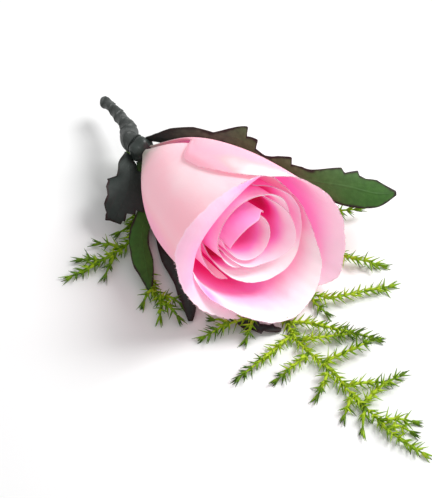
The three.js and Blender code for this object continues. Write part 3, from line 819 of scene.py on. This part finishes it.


# --- sepals
# green: shares of the length between which the satin turns from slate to leaf; worn: how strongly painted sheen
# lightens and greys the blade's middle;
# edge: millimetres of burnt edge; fold: how steeply the left side folds up;
# left, right: outlines of [share of the length, share of the half width], from notch to tooth;
# spine: stations of [turn, radius, height, half width, degrees the blade is rolled round its spine]
SEPALS = {
    "long_sepal": {
        "green": (0.3, 0.44), "painted_sheen": 0.8, "edge": 0.9,
        "left": [
            [0, 2], [0.1, 1.9], [0.13, 1.7], [0.17, 1.0], [0.2, 0.65], [0.3, 0.65], [0.4, 0.95], [1, 1],
        ],
        "right": [
            [0, 0.4], [0.05, 0.1], [0.1, 0.1], [0.16, 0.36], [0.24, 0.42], [0.3, 0.1], [0.34, 0.5], [0.4, 1.04],
            [0.407, 0.42], [0.448, 0.95], [0.456, 0.15], [0.5, 0.3], [0.55, 1], [0.598, 1.25], [0.606, 0.65],
            [0.65, 0.95], [0.7, 0.9], [0.775, 0.95], [0.785, 0.68], [0.82, 0.94], [0.828, 0.72], [0.85, 0.68],
            [0.9, 0.95], [1, 1],
        ],
        "spine": [
            [134, 4.4, -2.4, 2, 20], [130, 8.3, 0.8, 3.4, 40], [123, 13.7, 7.6, 3.9, 50],
            [114.5, 20.2, 16.8, 3.9, 48], [108.3, 25.2, 26.2, 4.9, 42], [103, 25.2, 35.6, 2.9, 20],
            [102, 26.6, 45.2, 3.6, 26], [97, 28.3, 52, 4.2, 32], [89, 36.5, 61, 6.4, 45],
            [83, 43.5, 67.3, 4.8, 45], [80, 51, 70.3, 0.7, 45],
        ],
    },
    "broad_sepal": {
        "green": (1.2, 1.6), "edge": 0.6, "fold": 2.6,
        "left": [
            [0, 1.5], [0.2, 1.15], [0.3, 1.08], [0.36, 1.6], [0.4, 1.45], [0.5, 1.4], [0.6, 1.05], [0.7, 1.03],
            [0.8, 0.75], [0.9, 0.9], [1, 1.3],
        ],
        "right": [
            [0, 1.8], [0.1, 1.6], [0.2, 1.5], [0.3, 1.15], [0.4, 1], [0.5, 1.25], [0.6, 1.5], [0.615, 0.95],
            [0.68, 1.05], [0.7, 0.55], [0.85, 0.8], [0.86, 0.6], [1, 1],
        ],
        "spine": [
            [-76, 4.2, -4.2, 1.8, -10], [-70, 7.4, -2, 3.2, -30], [-64, 10.6, 1, 4.4, -48],
            [-65, 15, 3.8, 5.2, -54], [-64, 19.8, 5, 5.4, -54],
            [-61, 23.4, 5.2, 4.4, -52], [-60, 25, 5.4, 2.4, -52],
        ],
    },
    "green_sepal": {
        "green": (-0.1, 0.2), "edge": 0.4,
        "left": [[0, 1.6], [0.3, 1], [0.45, 1.1], [0.65, 1.4], [0.8, 1.45], [0.9, 1.2], [1, 1]],
        "right": [[0, 1.6], [0.3, 1], [0.4, 0.8], [0.55, 0.65], [0.65, 0.62], [0.75, 0.95], [1, 1]],
        "spine": [
            [-20, 4.2, -1.4, 1.4, 0], [-25, 9.5, 3, 2.4, -8], [-38, 16, 9.7, 3, -26], [-52, 20.8, 14.8, 3.4, -43],
            [-57, 24.9, 20.4, 3.3, -43], [-58, 29.9, 27, 2.5, -43], [-57, 34.4, 32, 0.6, -43],
        ],
    },
    "side_sepal": {
        "green": (0.9, 2.4), "edge": 1.2,
        "left": [[0, 1.6], [0.3, 1], [0.5, 0.8], [0.7, 0.8], [0.82, 1.05], [0.84, 0.85], [1, 1]],
        "right": [[0, 1.6], [0.3, 1], [1, 1]],
        "spine": [
            [10, 4.6, -3.6, 1.6, 0], [5, 10, 0, 2.4, 0], [-4, 16, 6.5, 2.6, 0], [-25, 20.5, 15.5, 2.8, -20],
            [-38, 23.6, 24.5, 3, -36], [-46.5, 25.3, 33, 2.8, -46], [-50, 27.4, 40, 2.8, -48],
            [-50.5, 31, 45.5, 2.4, -48], [-50, 35, 48.8, 0.6, -46],
        ],
    },
    "under_sepal": {
        "green": (1.2, 2.4), "edge": 1.4,
        "left": [
            [0, 1.6], [0.6, 1], [0.8, 0.6], [0.84, 1.1], [0.85, 0.7], [0.9, 1.15], [0.905, 0.6],
            [0.96, 0.9], [1, 1],
        ],
        "right": [
            [0, 1.6], [0.6, 1], [0.86, 0.9], [0.88, 1.2], [0.885, 0.3], [0.93, 0.5], [0.95, 1.1],
            [0.955, 0.5], [1, 1],
        ],
        "spine": [
            [50, 4.2, -1.4, 1.6, 0], [28, 9, 3, 2.4, 0], [-6, 14.4, 8.6, 2.4, -4], [-29, 19, 16, 2.2, -25],
            [-36, 22, 24, 1.9, -33], [-37, 23.4, 31, 1.6, -36], [-38, 25, 38, 1.5, -37],
            [-38.5, 26.4, 46, 1.5, -38], [-39, 27.6, 54, 1.6, -39], [-35, 27.4, 62, 2.2, -36],
            [-26, 26.6, 68, 2.3, -26], [-17, 26.8, 71.8, 0.6, -17],
        ],
    },
}
# a pair is the shares of the length between which something grows or fades, and two numbers after it are
# its values there. Burnt edges and their drift are in millimetres
SEPAL_CAMBER = 0.16
SEPAL_WAVE = 0.25
SPINE_STEP = 0.01
FOLD_PLACE = 0.5
FOLD_GROWTH = (0.38, 0.6)
GREEN_DRIFT = 0.12
SHEEN_START = (0.08, 0.3)
SHEEN_END = (0.95, 0.5)
BURNT_START = 0.1
BURNT_FADE = 0.4
BURNT_DRIFT = 2.0
BURNT_CLIMB = (0.0, 0.4, 0.25, 1.0)
DARK_TIP = (0.75, 1.0, 0.0, 0.2)
VEIN_WIDTH = 0.05
RIBS = 60
RIB_SLANT = 22


def outline(points, along):
    shares, widths = np.array(points, float).T
    return np.interp(along, shares, widths)


def sepal_points(sepal, across, along):
    """A sepal's middle surface: a cambered blade with notched edges, rolled round its spine."""
    spine = sepal["spine"]
    turn, radius, height, half_width, roll = along_stations(spine, along)
    ahead = along_stations(spine, np.minimum(along + SPINE_STEP, 1))[:3]
    behind = along_stations(spine, np.maximum(along - SPINE_STEP, 0))[:3]
    forward = unit(bud_point(*ahead) - bud_point(*behind))
    level = outward(turn + 90)
    level = unit(level - forward * np.sum(level * forward, axis=-1, keepdims=True))
    angle = -np.radians(roll)[..., None]
    sideways = level * np.cos(angle) + np.cross(forward, level) * np.sin(angle)
    face = np.cross(forward, sideways)
    place = 2 * across - 1
    reach = np.where(place < 0, outline(sepal["left"], along), outline(sepal["right"], along))
    place = place * reach
    rise = SEPAL_CAMBER * half_width * (1 - place * place)
    rise = rise + sepal.get("fold", 0) * np.maximum(-place - FOLD_PLACE, 0) * smoothstep(along, *FOLD_GROWTH)
    wave = SEPAL_WAVE * np.sin(along * 31 + across * 5) * smoothstep(np.abs(place), 0.4, 1.2)
    return (
        bud_point(turn, radius, height)
        + sideways * (place * half_width)[..., None]
        + face * (rise + wave)[..., None]
    )


def add_sepal(name, sepal, settings):
    spine = np.array(sepal["spine"])
    length = gaps(bud_point(*spine[:, :3].T)).sum()
    width = 2 * spine[:, 3].max()
    step = settings.mesh_step / MM

    def surface(across, along):
        return sepal_points(sepal, across, along)

    piece, _ = lay_sheet(name, surface, round(width / step), round(length / step), settings.thickness / MM)
    finish_piece(piece, satin(name, sepal, settings), name)


def satin(name, sepal, settings):
    """Green satin, dark at the foot and burnt maroon along the edges, with painted sheen lighter in the middle of
    the blade and darker towards its tip.
    """
    paint = Paint(name + "_satin", Roughness=0.6, Specular_IOR_Level=0.3)
    along = paint.attribute("along")
    spots = paint.noise(0.25, detail=3.0) - 0.5
    green = (along + spots * GREEN_DRIFT).smooth(*sepal["green"])
    cloth = paint.mix(green, settings.slate, settings.leaf)
    # painted sheen: the blade's middle is lighter and greyer
    painted_sheen = along.smooth(*SHEEN_START) * along.smooth(*SHEEN_END) * (spots + 0.7)
    cloth = paint.mix(painted_sheen * sepal.get("painted_sheen", 0), cloth, settings.sheen_grey)
    edge = paint.attribute("side").least(paint.attribute("depth"))
    burnt = 1 - (edge + spots * BURNT_DRIFT).smooth(BURNT_START, sepal["edge"] + BURNT_FADE)
    burnt = burnt * along.smooth(*BURNT_CLIMB)
    cloth = paint.mix(burnt, cloth, settings.maroon)
    # darker towards the tip, where the painted sheen gives way
    shade = paint.noise(0.5, detail=4.0) * 0.7 + 0.65 - along.smooth(*DARK_TIP)
    paint.feed("Base Color", paint.shade(cloth, shade))
    middle = (paint.attribute("across") - 0.5).absolute()
    vein = 1 - middle.smooth(0.0, VEIN_WIDTH)
    ribs = ((along * RIBS - middle * RIB_SLANT) * 2).sine() * 0.5 + 0.5
    paint.relief(vein + ribs * 0.2 + paint.noise(2.5) * 0.5, distance=0.08)
    return paint.material


class CORSAGE_OT_add_sepals(bpy.types.Operator):
    """Add the five satin sepals"""

    bl_idname = "corsage.add_sepals"
    bl_label = "Add sepals"

    def execute(self, context):
        for name, sepal in SEPALS.items():
            add_sepal(name, sepal, context.scene.corsage_sepals)
        return {"FINISHED"}


# --- stem
STEM_ROUTE = [
    [-78.8, 11.1, 9], [-71.4, 10, 10.6], [-65, 8.2, 12.4], [-58.8, 5.7, 14.5],
    bud_point(0, 0, -8.4), bud_point(0, 0, -5.8),
]
TAPE_TIP_RADIUS = 1.9
TAPE_NECK_RADIUS = 3.3
TAPER_START = 0.25
TIP_ROUNDING = (-0.03, 0.07)
LAP_SOFTNESS = 0.12
BROAD_CRUMPLE = 0.2
NARROW_CRUMPLE = 0.12
KNOB_SEAT = -5.4
KNOB_TOP = 0.2
KNOB_RADIUS = 2.9
KNOB_SWELL = 1.5
KNOB_LOBES = 5
LOBE_DEPTH = 0.3


def route_frames(route, shares):
    """Points along a route, with the directions forward, level and lift at each."""
    points = route_points(route, shares)
    forward = unit(np.gradient(points, axis=0))
    level = unit(np.cross([0, 0, 1], forward))
    return points, forward, level, np.cross(forward, level)


def add_tube(name, route, radius_at, sides, rings):
    """A closed tube: a grid rolled round a route, with its seam merged and its ends filled."""
    piece, across, along = add_grid(name, sides, rings)
    points, _, level, lift = route_frames(route, along[:, 0])
    angle = across * 2 * math.pi
    radius = radius_at(along, angle)
    ring = level[:, None] * np.cos(angle)[..., None] + lift[:, None] * np.sin(angle)[..., None]
    write_points(piece.data, (points[:, None] + ring * radius[..., None]).reshape(-1, 3))
    only(piece)
    bpy.ops.object.mode_set(mode="EDIT")
    bpy.ops.mesh.select_all(action="SELECT")
    bpy.ops.mesh.remove_doubles(threshold=0.01 * MM)
    bpy.ops.mesh.fill_holes(sides=0)
    bpy.ops.mesh.select_all(action="SELECT")
    bpy.ops.mesh.normals_make_consistent(inside=False)
    bpy.ops.object.mode_set(mode="OBJECT")
    return piece


def add_tape(settings):
    """The wound tape: each winding laps over the one before it and leaves a soft edge."""
    length = route_length(STEM_ROUTE)
    windings = length / (settings.tape_width / MM)
    step = settings.tape_step / MM

    def radius_at(along, angle):
        taper = TAPE_TIP_RADIUS + (TAPE_NECK_RADIUS - TAPE_TIP_RADIUS) * smoothstep(along, TAPER_START, 1)
        rounded = 0.25 + 0.75 * np.sqrt(smoothstep(along, *TIP_ROUNDING))
        lap = (along * windings - angle / (2 * math.pi)) % 1
        edge = step * (lap - 0.5) * smoothstep(lap, 0, LAP_SOFTNESS)
        crumple = BROAD_CRUMPLE * np.sin(2 * angle + along * 19)
        crumple = crumple + NARROW_CRUMPLE * np.sin(3 * angle - along * 33 + 1)
        return (taper + edge + crumple) * rounded

    piece = add_tube("stem_tape", STEM_ROUTE, radius_at, sides=64, rings=200)
    smooth_by_angle(piece, 40)
    paint = Paint("stem_tape_wrap", Roughness=0.5)
    paint.feed("Base Color", paint.mottled(settings.tape, 0.9, scale=0.6, detail=4.0))
    paint.relief(paint.noise(1.6, detail=4.0), distance=0.15)
    finish_piece(piece, paint.material, "stem_tape")


def add_knob(settings):
    """The knob under the petals: a turned ring that swells into five soft lobes."""
    seat = bud_point(0, 0, KNOB_SEAT)
    top = bud_point(0, 0, KNOB_TOP)
    middle = (seat + top) / 2

    def radius_at(along, angle):
        swell = KNOB_RADIUS + KNOB_SWELL * np.sin(math.pi * np.clip(along * 0.8 + 0.1, 0, 1))
        rounded = np.sqrt(np.clip(1 - (2 * np.abs(along - 0.5)) ** 6, 0.05, 1))
        return (swell + LOBE_DEPTH * np.cos(KNOB_LOBES * angle)) * rounded

    piece = add_tube("calyx_knob", [seat, middle, top], radius_at, sides=60, rings=24)
    smooth_by_angle(piece, 60)
    paint = Paint("calyx_knob_satin", Roughness=0.45)
    paint.feed("Base Color", paint.mottled(settings.slate, 0.8, scale=0.6, detail=4.0))
    paint.relief(paint.noise(1.6, detail=4.0), distance=0.12)
    finish_piece(piece, paint.material, "calyx_knob")


def finish_wire(settings):
    """The wire shows at the stem's end only, as dull steel."""
    paint = Paint("stem_wire_steel", Roughness=0.4, Metallic=0.8)
    paint.feed("Base Color", paint.mottled(settings.wire, 0.6, scale=1.5, detail=3.0))
    paint.relief(paint.noise(3.0), distance=0.03)
    paint_piece(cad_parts["stem_wire"], paint.material)


class CORSAGE_OT_add_stem(bpy.types.Operator):
    """Add the wound stem and the knob, and finish the wire"""

    bl_idname = "corsage.add_stem"
    bl_label = "Add stem"

    def execute(self, context):
        add_tape(context.scene.corsage_stem)
        add_knob(context.scene.corsage_sepals)
        finish_wire(context.scene.corsage_stem)
        return {"FINISHED"}


# --- fern sprays
# seed: starts the spray's own draws; fresh: how young its green is;
# branches: the millimetres of bare foot, and the route, which carries tufts of needles past that
FERNS = {
    "fern_forward": {
        "seed": 11, "fresh": 0.6,
        "branches": [
            (99, [
                [-59, 6, 13.6], [-54, 4.4, 8], [-47, 5.4, 4.6], [-39, 9, 3], [-25, 14.5, 1.6], [0, 15.5, 1],
                [15, 9, 1], [25.4, -3.5, 1], [30.5, -5.5, 1], [37, -7.8, 2], [44, -7.8, 2], [53, -8, 2],
                [61.8, -9.4, 2], [70.9, -9.9, 2], [81, -10.4, 2], [91, -8.4, 1],
            ]),
            (13, [[24, -1, 1], [21, -8, 2.2], [18.5, -14, 3], [15.4, -21, 3], [13.2, -28, 1.4]]),
            (1, [[19.4, -11.6, 2.8], [22, -15.5, 3.4], [23.4, -18.8, 1.6]]),
            (1, [[16, -19.5, 3], [13, -20.5, 3.4], [11, -21.4, 2]]),
            (2, [[32.5, -6.4, 1.2], [32.6, -19.4, 2], [31.7, -30, 1]]),
            (2, [[41.5, -8, 2], [41.3, -16.8, 2], [40.9, -22, 1]]),
            (2, [[50, -8, 2], [52.5, -12.5, 2.2], [53.9, -16.8, 1]]),
            (2, [[61.5, -9.4, 2], [63.5, -13, 2], [65, -16.3, 1]]),
            (2, [[68, -9.8, 2], [70, -13, 2], [72, -15.4, 1]]),
            (2, [[28, -5, 1], [32, -1.6, 2.4], [41.6, 4.1, 3], [52.9, 11.8, 1]]),
            (2, [[35.5, -7.4, 1.8], [39.5, -3, 3], [47.1, 7.8, 2.4]]),
            (2, [[47, -7.8, 2], [50.7, 1.5, 3.6], [53.2, 8.6, 4.2]]),
            (2, [[58, -8.8, 2], [61.5, -4, 2.6], [65.8, 1.4, 1.6]]),
            (2, [[66.5, -9.7, 2], [66.6, -1, 3.4], [67.9, 6.7, 2]]),
            (2, [[74, -10, 2], [78, -5.5, 2.4], [81.6, -2.3, 1]]),
            (2, [[77.5, -10.2, 2], [80, -7, 2.2], [83.5, -5.4, 1]]),
        ],
    },
    "fern_left": {
        "seed": 23, "fresh": 0.25,
        "branches": [
            (27, [
                [-57.3, 2.4, 11.9], [-50, -1, 7.4], [-44.5, -5.5, 2.6], [-38, -12, 1.6], [-34, -16.5, 1.5],
                [-31, -21.5, 2], [-31.2, -29.3, 2.6], [-33, -36.7, 2], [-35, -43.5, 1],
            ]),
            (1.5, [[-36.6, -13.6, 1.6], [-36.2, -17, 1.4], [-36.8, -20, 1.2]]),
            (1.5, [[-31.1, -24, 2.2], [-34.5, -26, 2.6], [-37.6, -28, 2]]),
            (1.5, [[-31.1, -27, 2.4], [-29, -31, 2.4], [-27.4, -34.6, 1.4]]),
            (1.5, [[-31.8, -32.6, 2.4], [-34.8, -34.4, 2.4], [-37.2, -36.6, 1.6]]),
        ],
    },
    "fern_right": {
        "seed": 37, "fresh": 0.5,
        "branches": [
            (93, [
                [-59, 6.4, 13.8], [-54.4, 5.2, 8.6], [-48, 6.6, 5.4], [-40, 11, 3.6], [-25, 19, 1.4],
                [0, 20, 1], [17, 13, 1], [24.5, 9, 1.2], [32, 11.6, 3], [37.6, 20.4, 2.6], [42.3, 29.8, 1],
            ]),
            (5, [[24, 9.2, 1.2], [28.5, 7.4, 1.6], [34.5, 7.2, 1.2]]),
        ],
    },
    "fern_upper": {
        "seed": 41, "fresh": 0.5,
        "branches": [
            (76, [
                [-59, 6.8, 14], [-55, 6, 9], [-49, 8, 6], [-42, 13, 4], [-27, 24, 1.4], [0, 27.5, 1], [13, 26, 2],
                [25, 27, 3.6], [30.5, 30.6, 3], [35.1, 34.3, 1],
            ]),
            (10, [[-2, 27.4, 1.4], [6, 34, 3.4], [14.4, 42.8, 4.4]]),
        ],
    },
    "fern_low": {
        "seed": 53, "fresh": 0.35,
        "branches": [
            (52, [
                [-57.3, 5.2, 10.8], [-50, 2.4, 7.4], [-44, -2.4, 3], [-38, -7, 1.6], [-26, -17.4, 1],
                [-16, -25, 1], [-10, -27.6, 1.4], [-5.5, -30, 2.6], [-2.6, -33, 1.6],
            ]),
            (1, [[-12, -27, 1.2], [-11.5, -30, 2.6], [-10.5, -33, 1.4]]),
            (1, [[-8, -28.8, 1.6], [-4.5, -26.8, 4.5], [-1, -25.5, 3]]),
            (1, [[-6, -29.8, 2.4], [-1.5, -29.6, 5], [2, -29.5, 3]]),
        ],
    },
}
# a needle is 1 long and 1 wide until it is placed; a spread is the least and the most of a draw
NEEDLES_A_TUFT = 6
NEEDLE_CUTS = (0.18, 0.42, 0.7)
NEEDLE_FLATNESS = 0.6
NEEDLE_BEND = 0.16
NEEDLE_FLOOR = 0.05
NEEDLE_FOOT = 0.15
NEEDLE_LEAN = (0.2, 1.1)
TIP_LEAN = 1.6
LENGTH_SPREAD = (0.6, 1.1)
WIDTH_SPREAD = (0.75, 1.15)
AGE_SPREAD = 0.3
MAIN_AGE = 0.35
SIDE_AGE = 0.9
TUFT_DEPTH = 0.35
TUFT_HEIGHT = 0.8
TUFT_TWIST = 0.4
STEM_SIDES = 6
STEM_RING = 1.2
STEM_TAPER = 0.55
STEM_AGE = 0.4
AGE_DARK = 0.75
TIP_DARK = 0.45


def model_needle():
    """One needle, 1 mm long along Z: a five-sided cone that is widest above its foot and bends forward."""
    needle = add_spike(5, foot=0.5, tip=0.06)
    bpy.ops.object.mode_set(mode="EDIT")
    for height in NEEDLE_CUTS:
        bpy.ops.mesh.select_all(action="SELECT")
        bpy.ops.mesh.bisect(plane_co=(0, 0, height * MM), plane_no=(0, 0, 1))
    bpy.ops.object.mode_set(mode="OBJECT")
    points = read_points(needle.data) / MM
    height = points[:, 2]
    swell = np.where(height < 0.1, 0.8, 1.0)
    points[:, 0] = points[:, 0] * swell * NEEDLE_FLATNESS + NEEDLE_BEND * height**2
    points[:, 1] *= swell
    write_points(needle.data, points)
    template = needle.data
    bpy.data.objects.remove(needle)
    return template


def tuft_places(bare, route, settings, dice):
    """Where the needles of a branch stand: in tufts along it, leaning towards its tip."""
    length = route_length(route)
    count = max(2, round((length - bare) / (settings.tuft_step / MM)))
    shares = np.linspace(bare / length, 1, count)
    points, forward, level, lift = route_frames(route, shares)
    places = []
    for k, (point, ahead, aside, above) in enumerate(zip(points, forward, level, lift)):
        last = k == count - 1
        start = dice.uniform(0, 2 * math.pi)
        for j in range(NEEDLES_A_TUFT):
            angle = start + j * 2 * math.pi / NEEDLES_A_TUFT + dice.uniform(-TUFT_TWIST, TUFT_TWIST)
            away = aside * math.cos(angle) + above * math.sin(angle) * TUFT_HEIGHT
            lean = dice.uniform(*NEEDLE_LEAN) + (TIP_LEAN if last else 0)
            size = settings.needle_length / MM * dice.uniform(*LENGTH_SPREAD)
            foot = point + away * NEEDLE_FOOT + ahead * dice.uniform(-TUFT_DEPTH, TUFT_DEPTH)
            width = settings.needle_width / MM * dice.uniform(*WIDTH_SPREAD)
            places.append(axes_matrix(away + ahead * lean, ahead, foot, size, width))
    return places


def add_branch(name, bare, route, thickness):
    """A branch's stem, with its age: old and dark where it is bare, and again towards its tip."""
    length = route_length(route)

    def radius_at(along, _):
        return thickness * (1 - STEM_TAPER * along)

    rings = max(6, round(length / STEM_RING))
    stem = add_tube(name, route, radius_at, STEM_SIDES, rings)
    along = np.repeat(np.linspace(0, 1, rings), STEM_SIDES)
    age = np.where(along * length < bare, 1.0, STEM_AGE * along)
    write_attribute(stem.data, "age", np.resize(age, len(stem.data.vertices)))
    return stem


def add_fern(name, fern, needle, settings):
    dice = np.random.default_rng(fern["seed"])
    stems, places, ages = [], [], []
    for number, (bare, route) in enumerate(fern["branches"]):
        stems.append(add_branch(f"{name}_stem_{number}", bare, route, settings.stem_width / MM / 2))
        grown = tuft_places(bare, route, settings, dice)
        ages.append(np.linspace(0, MAIN_AGE if number == 0 else SIDE_AGE, len(grown)))
        places += grown
    spray = place_copies(name, needle, places)
    write_attribute(spray.data, "tip", np.tile(read_points(needle)[:, 2] / MM, len(places)))
    age = np.concatenate(ages) + dice.uniform(-AGE_SPREAD, AGE_SPREAD, len(places))
    write_attribute(spray.data, "age", np.repeat(age, len(needle.vertices)))
    spray = join([spray, *stems])
    points = read_points(spray.data) / MM
    points[:, 2] = np.maximum(points[:, 2], NEEDLE_FLOOR)
    write_points(spray.data, points)
    smooth_by_angle(spray, 60)
    finish_piece(spray, soft_plastic(name, fern["fresh"], settings), name)


def soft_plastic(name, fresh, settings):
    """Soft moulded fern: lime round young wood, bright along the needles and dark at their tips."""
    paint = Paint(
        name + "_plastic", Roughness=0.45, Specular_IOR_Level=0.12,
        Subsurface_Weight=0.4, Subsurface_Scale=0.001, Subsurface_Radius=(0.8, 1.0, 0.3),
    )
    spots = paint.noise(0.12) - 0.5
    old = paint.attribute("age") + spots * 0.9 + (0.5 - fresh)
    dark = old.smooth(-0.1, 0.9) * AGE_DARK + paint.attribute("tip").smooth(0.25, 1.0) * TIP_DARK
    green = paint.mix(dark.smooth(0.0, 0.45), settings.lime, settings.bright)
    green = paint.mix(dark.smooth(0.4, 1.0), green, settings.dark)
    paint.feed("Base Color", green)
    paint.relief(paint.noise(2.0), distance=0.05)
    return paint.material


class CORSAGE_OT_add_ferns(bpy.types.Operator):
    """Add the five needled fern sprays"""

    bl_idname = "corsage.add_ferns"
    bl_label = "Add fern sprays"

    def execute(self, context):
        settings = context.scene.corsage_ferns
        needle = model_needle()
        for name, fern in FERNS.items():
            add_fern(name, fern, needle, settings)
        bpy.data.meshes.remove(needle)
        return {"FINISHED"}


# --- stage
AIM = Vector((-9.84, -0.09, -0.93)) * MM
FLOOR_SIZE = 6.0
KEY_SIZE = 0.3
LAMP_PLACE = (0.13, 0.42, 0.5)


def add_floor(settings):
    clear_selection()
    bpy.ops.mesh.primitive_plane_add(size=FLOOR_SIZE, location=(0, 0, CAD_BOX[0][2]))
    floor = bpy.context.active_object
    floor.name = "floor"
    paint = Paint("floor_paper", Roughness=0.9)
    paint.feed("Base Color", paint.mottled(settings.floor, 0.02, scale=0.002))
    floor.data.materials.append(paint.material)


def light_the_stage(settings):
    world = bpy.data.worlds.new("studio")
    world.use_nodes = True
    background = world.node_tree.nodes["Background"]
    background.inputs["Color"].default_value = (1.0, 1.0, 1.0, 1.0)
    background.inputs["Strength"].default_value = settings.sky
    bpy.context.scene.world = world
    bpy.ops.object.light_add(type="AREA", location=LAMP_PLACE)
    lamp = bpy.context.active_object
    lamp.name = "key_light"
    lamp.data.size = KEY_SIZE
    lamp.data.energy = settings.key
    lamp.rotation_euler = (AIM - lamp.location).to_track_quat("-Z", "Y").to_euler()
    bpy.context.scene.view_settings.view_transform = "Standard"


def set_camera(settings):
    flat = math.cos(settings.camera_height)
    towards = Vector((
        flat * math.cos(settings.camera_turn),
        flat * math.sin(settings.camera_turn),
        math.sin(settings.camera_height),
    ))
    bpy.ops.object.camera_add(location=AIM + towards * settings.camera_distance)
    camera = bpy.context.active_object
    camera.rotation_euler = towards.to_track_quat("Z", "Y").to_euler()
    camera.data.lens = settings.lens
    camera.data.sensor_width = 36.0
    camera.data.sensor_fit = "HORIZONTAL"
    camera.data.clip_start = 0.01
    bpy.context.scene.camera = camera


class CORSAGE_OT_set_stage(bpy.types.Operator):
    """Add the floor, the light and the camera"""

    bl_idname = "corsage.set_stage"
    bl_label = "Set the stage"

    def execute(self, context):
        settings = context.scene.corsage_stage
        add_floor(settings)
        light_the_stage(settings)
        set_camera(settings)
        return {"FINISHED"}


class VIEW3D_PT_corsage(bpy.types.Panel):
    """Lists the parts of the boutonniere and their settings"""

    bl_label = "Rose boutonniere"
    bl_space_type = "VIEW_3D"
    bl_region_type = "UI"
    bl_category = "Rose"

    def draw(self, context):
        layout = self.layout
        for operator, name, _ in STEPS:
            layout.operator(operator.bl_idname)
            settings = getattr(context.scene, name)
            for setting in settings.bl_rna.properties:
                if not setting.is_readonly and setting.identifier != "name":
                    layout.prop(settings, setting.identifier)


STEPS = (
    (CORSAGE_OT_add_petals, "corsage_petals", PetalSettings),
    (CORSAGE_OT_add_sepals, "corsage_sepals", SepalSettings),
    (CORSAGE_OT_add_stem, "corsage_stem", StemSettings),
    (CORSAGE_OT_add_ferns, "corsage_ferns", FernSettings),
    (CORSAGE_OT_set_stage, "corsage_stage", StageSettings),
)


def register():
    for operator, name, group in STEPS:
        bpy.utils.register_class(group)
        setattr(bpy.types.Scene, name, bpy.props.PointerProperty(type=group))
        bpy.utils.register_class(operator)
    bpy.utils.register_class(VIEW3D_PT_corsage)


def unregister():
    bpy.utils.unregister_class(VIEW3D_PT_corsage)
    for operator, name, group in STEPS:
        bpy.utils.unregister_class(operator)
        delattr(bpy.types.Scene, name)
        bpy.utils.unregister_class(group)


def main():
    register()
    bpy.ops.corsage.add_petals()
    bpy.ops.corsage.add_sepals()
    bpy.ops.corsage.add_stem()
    bpy.ops.corsage.add_ferns()
    bpy.ops.corsage.set_stage()


if __name__ == "__main__":
    main()
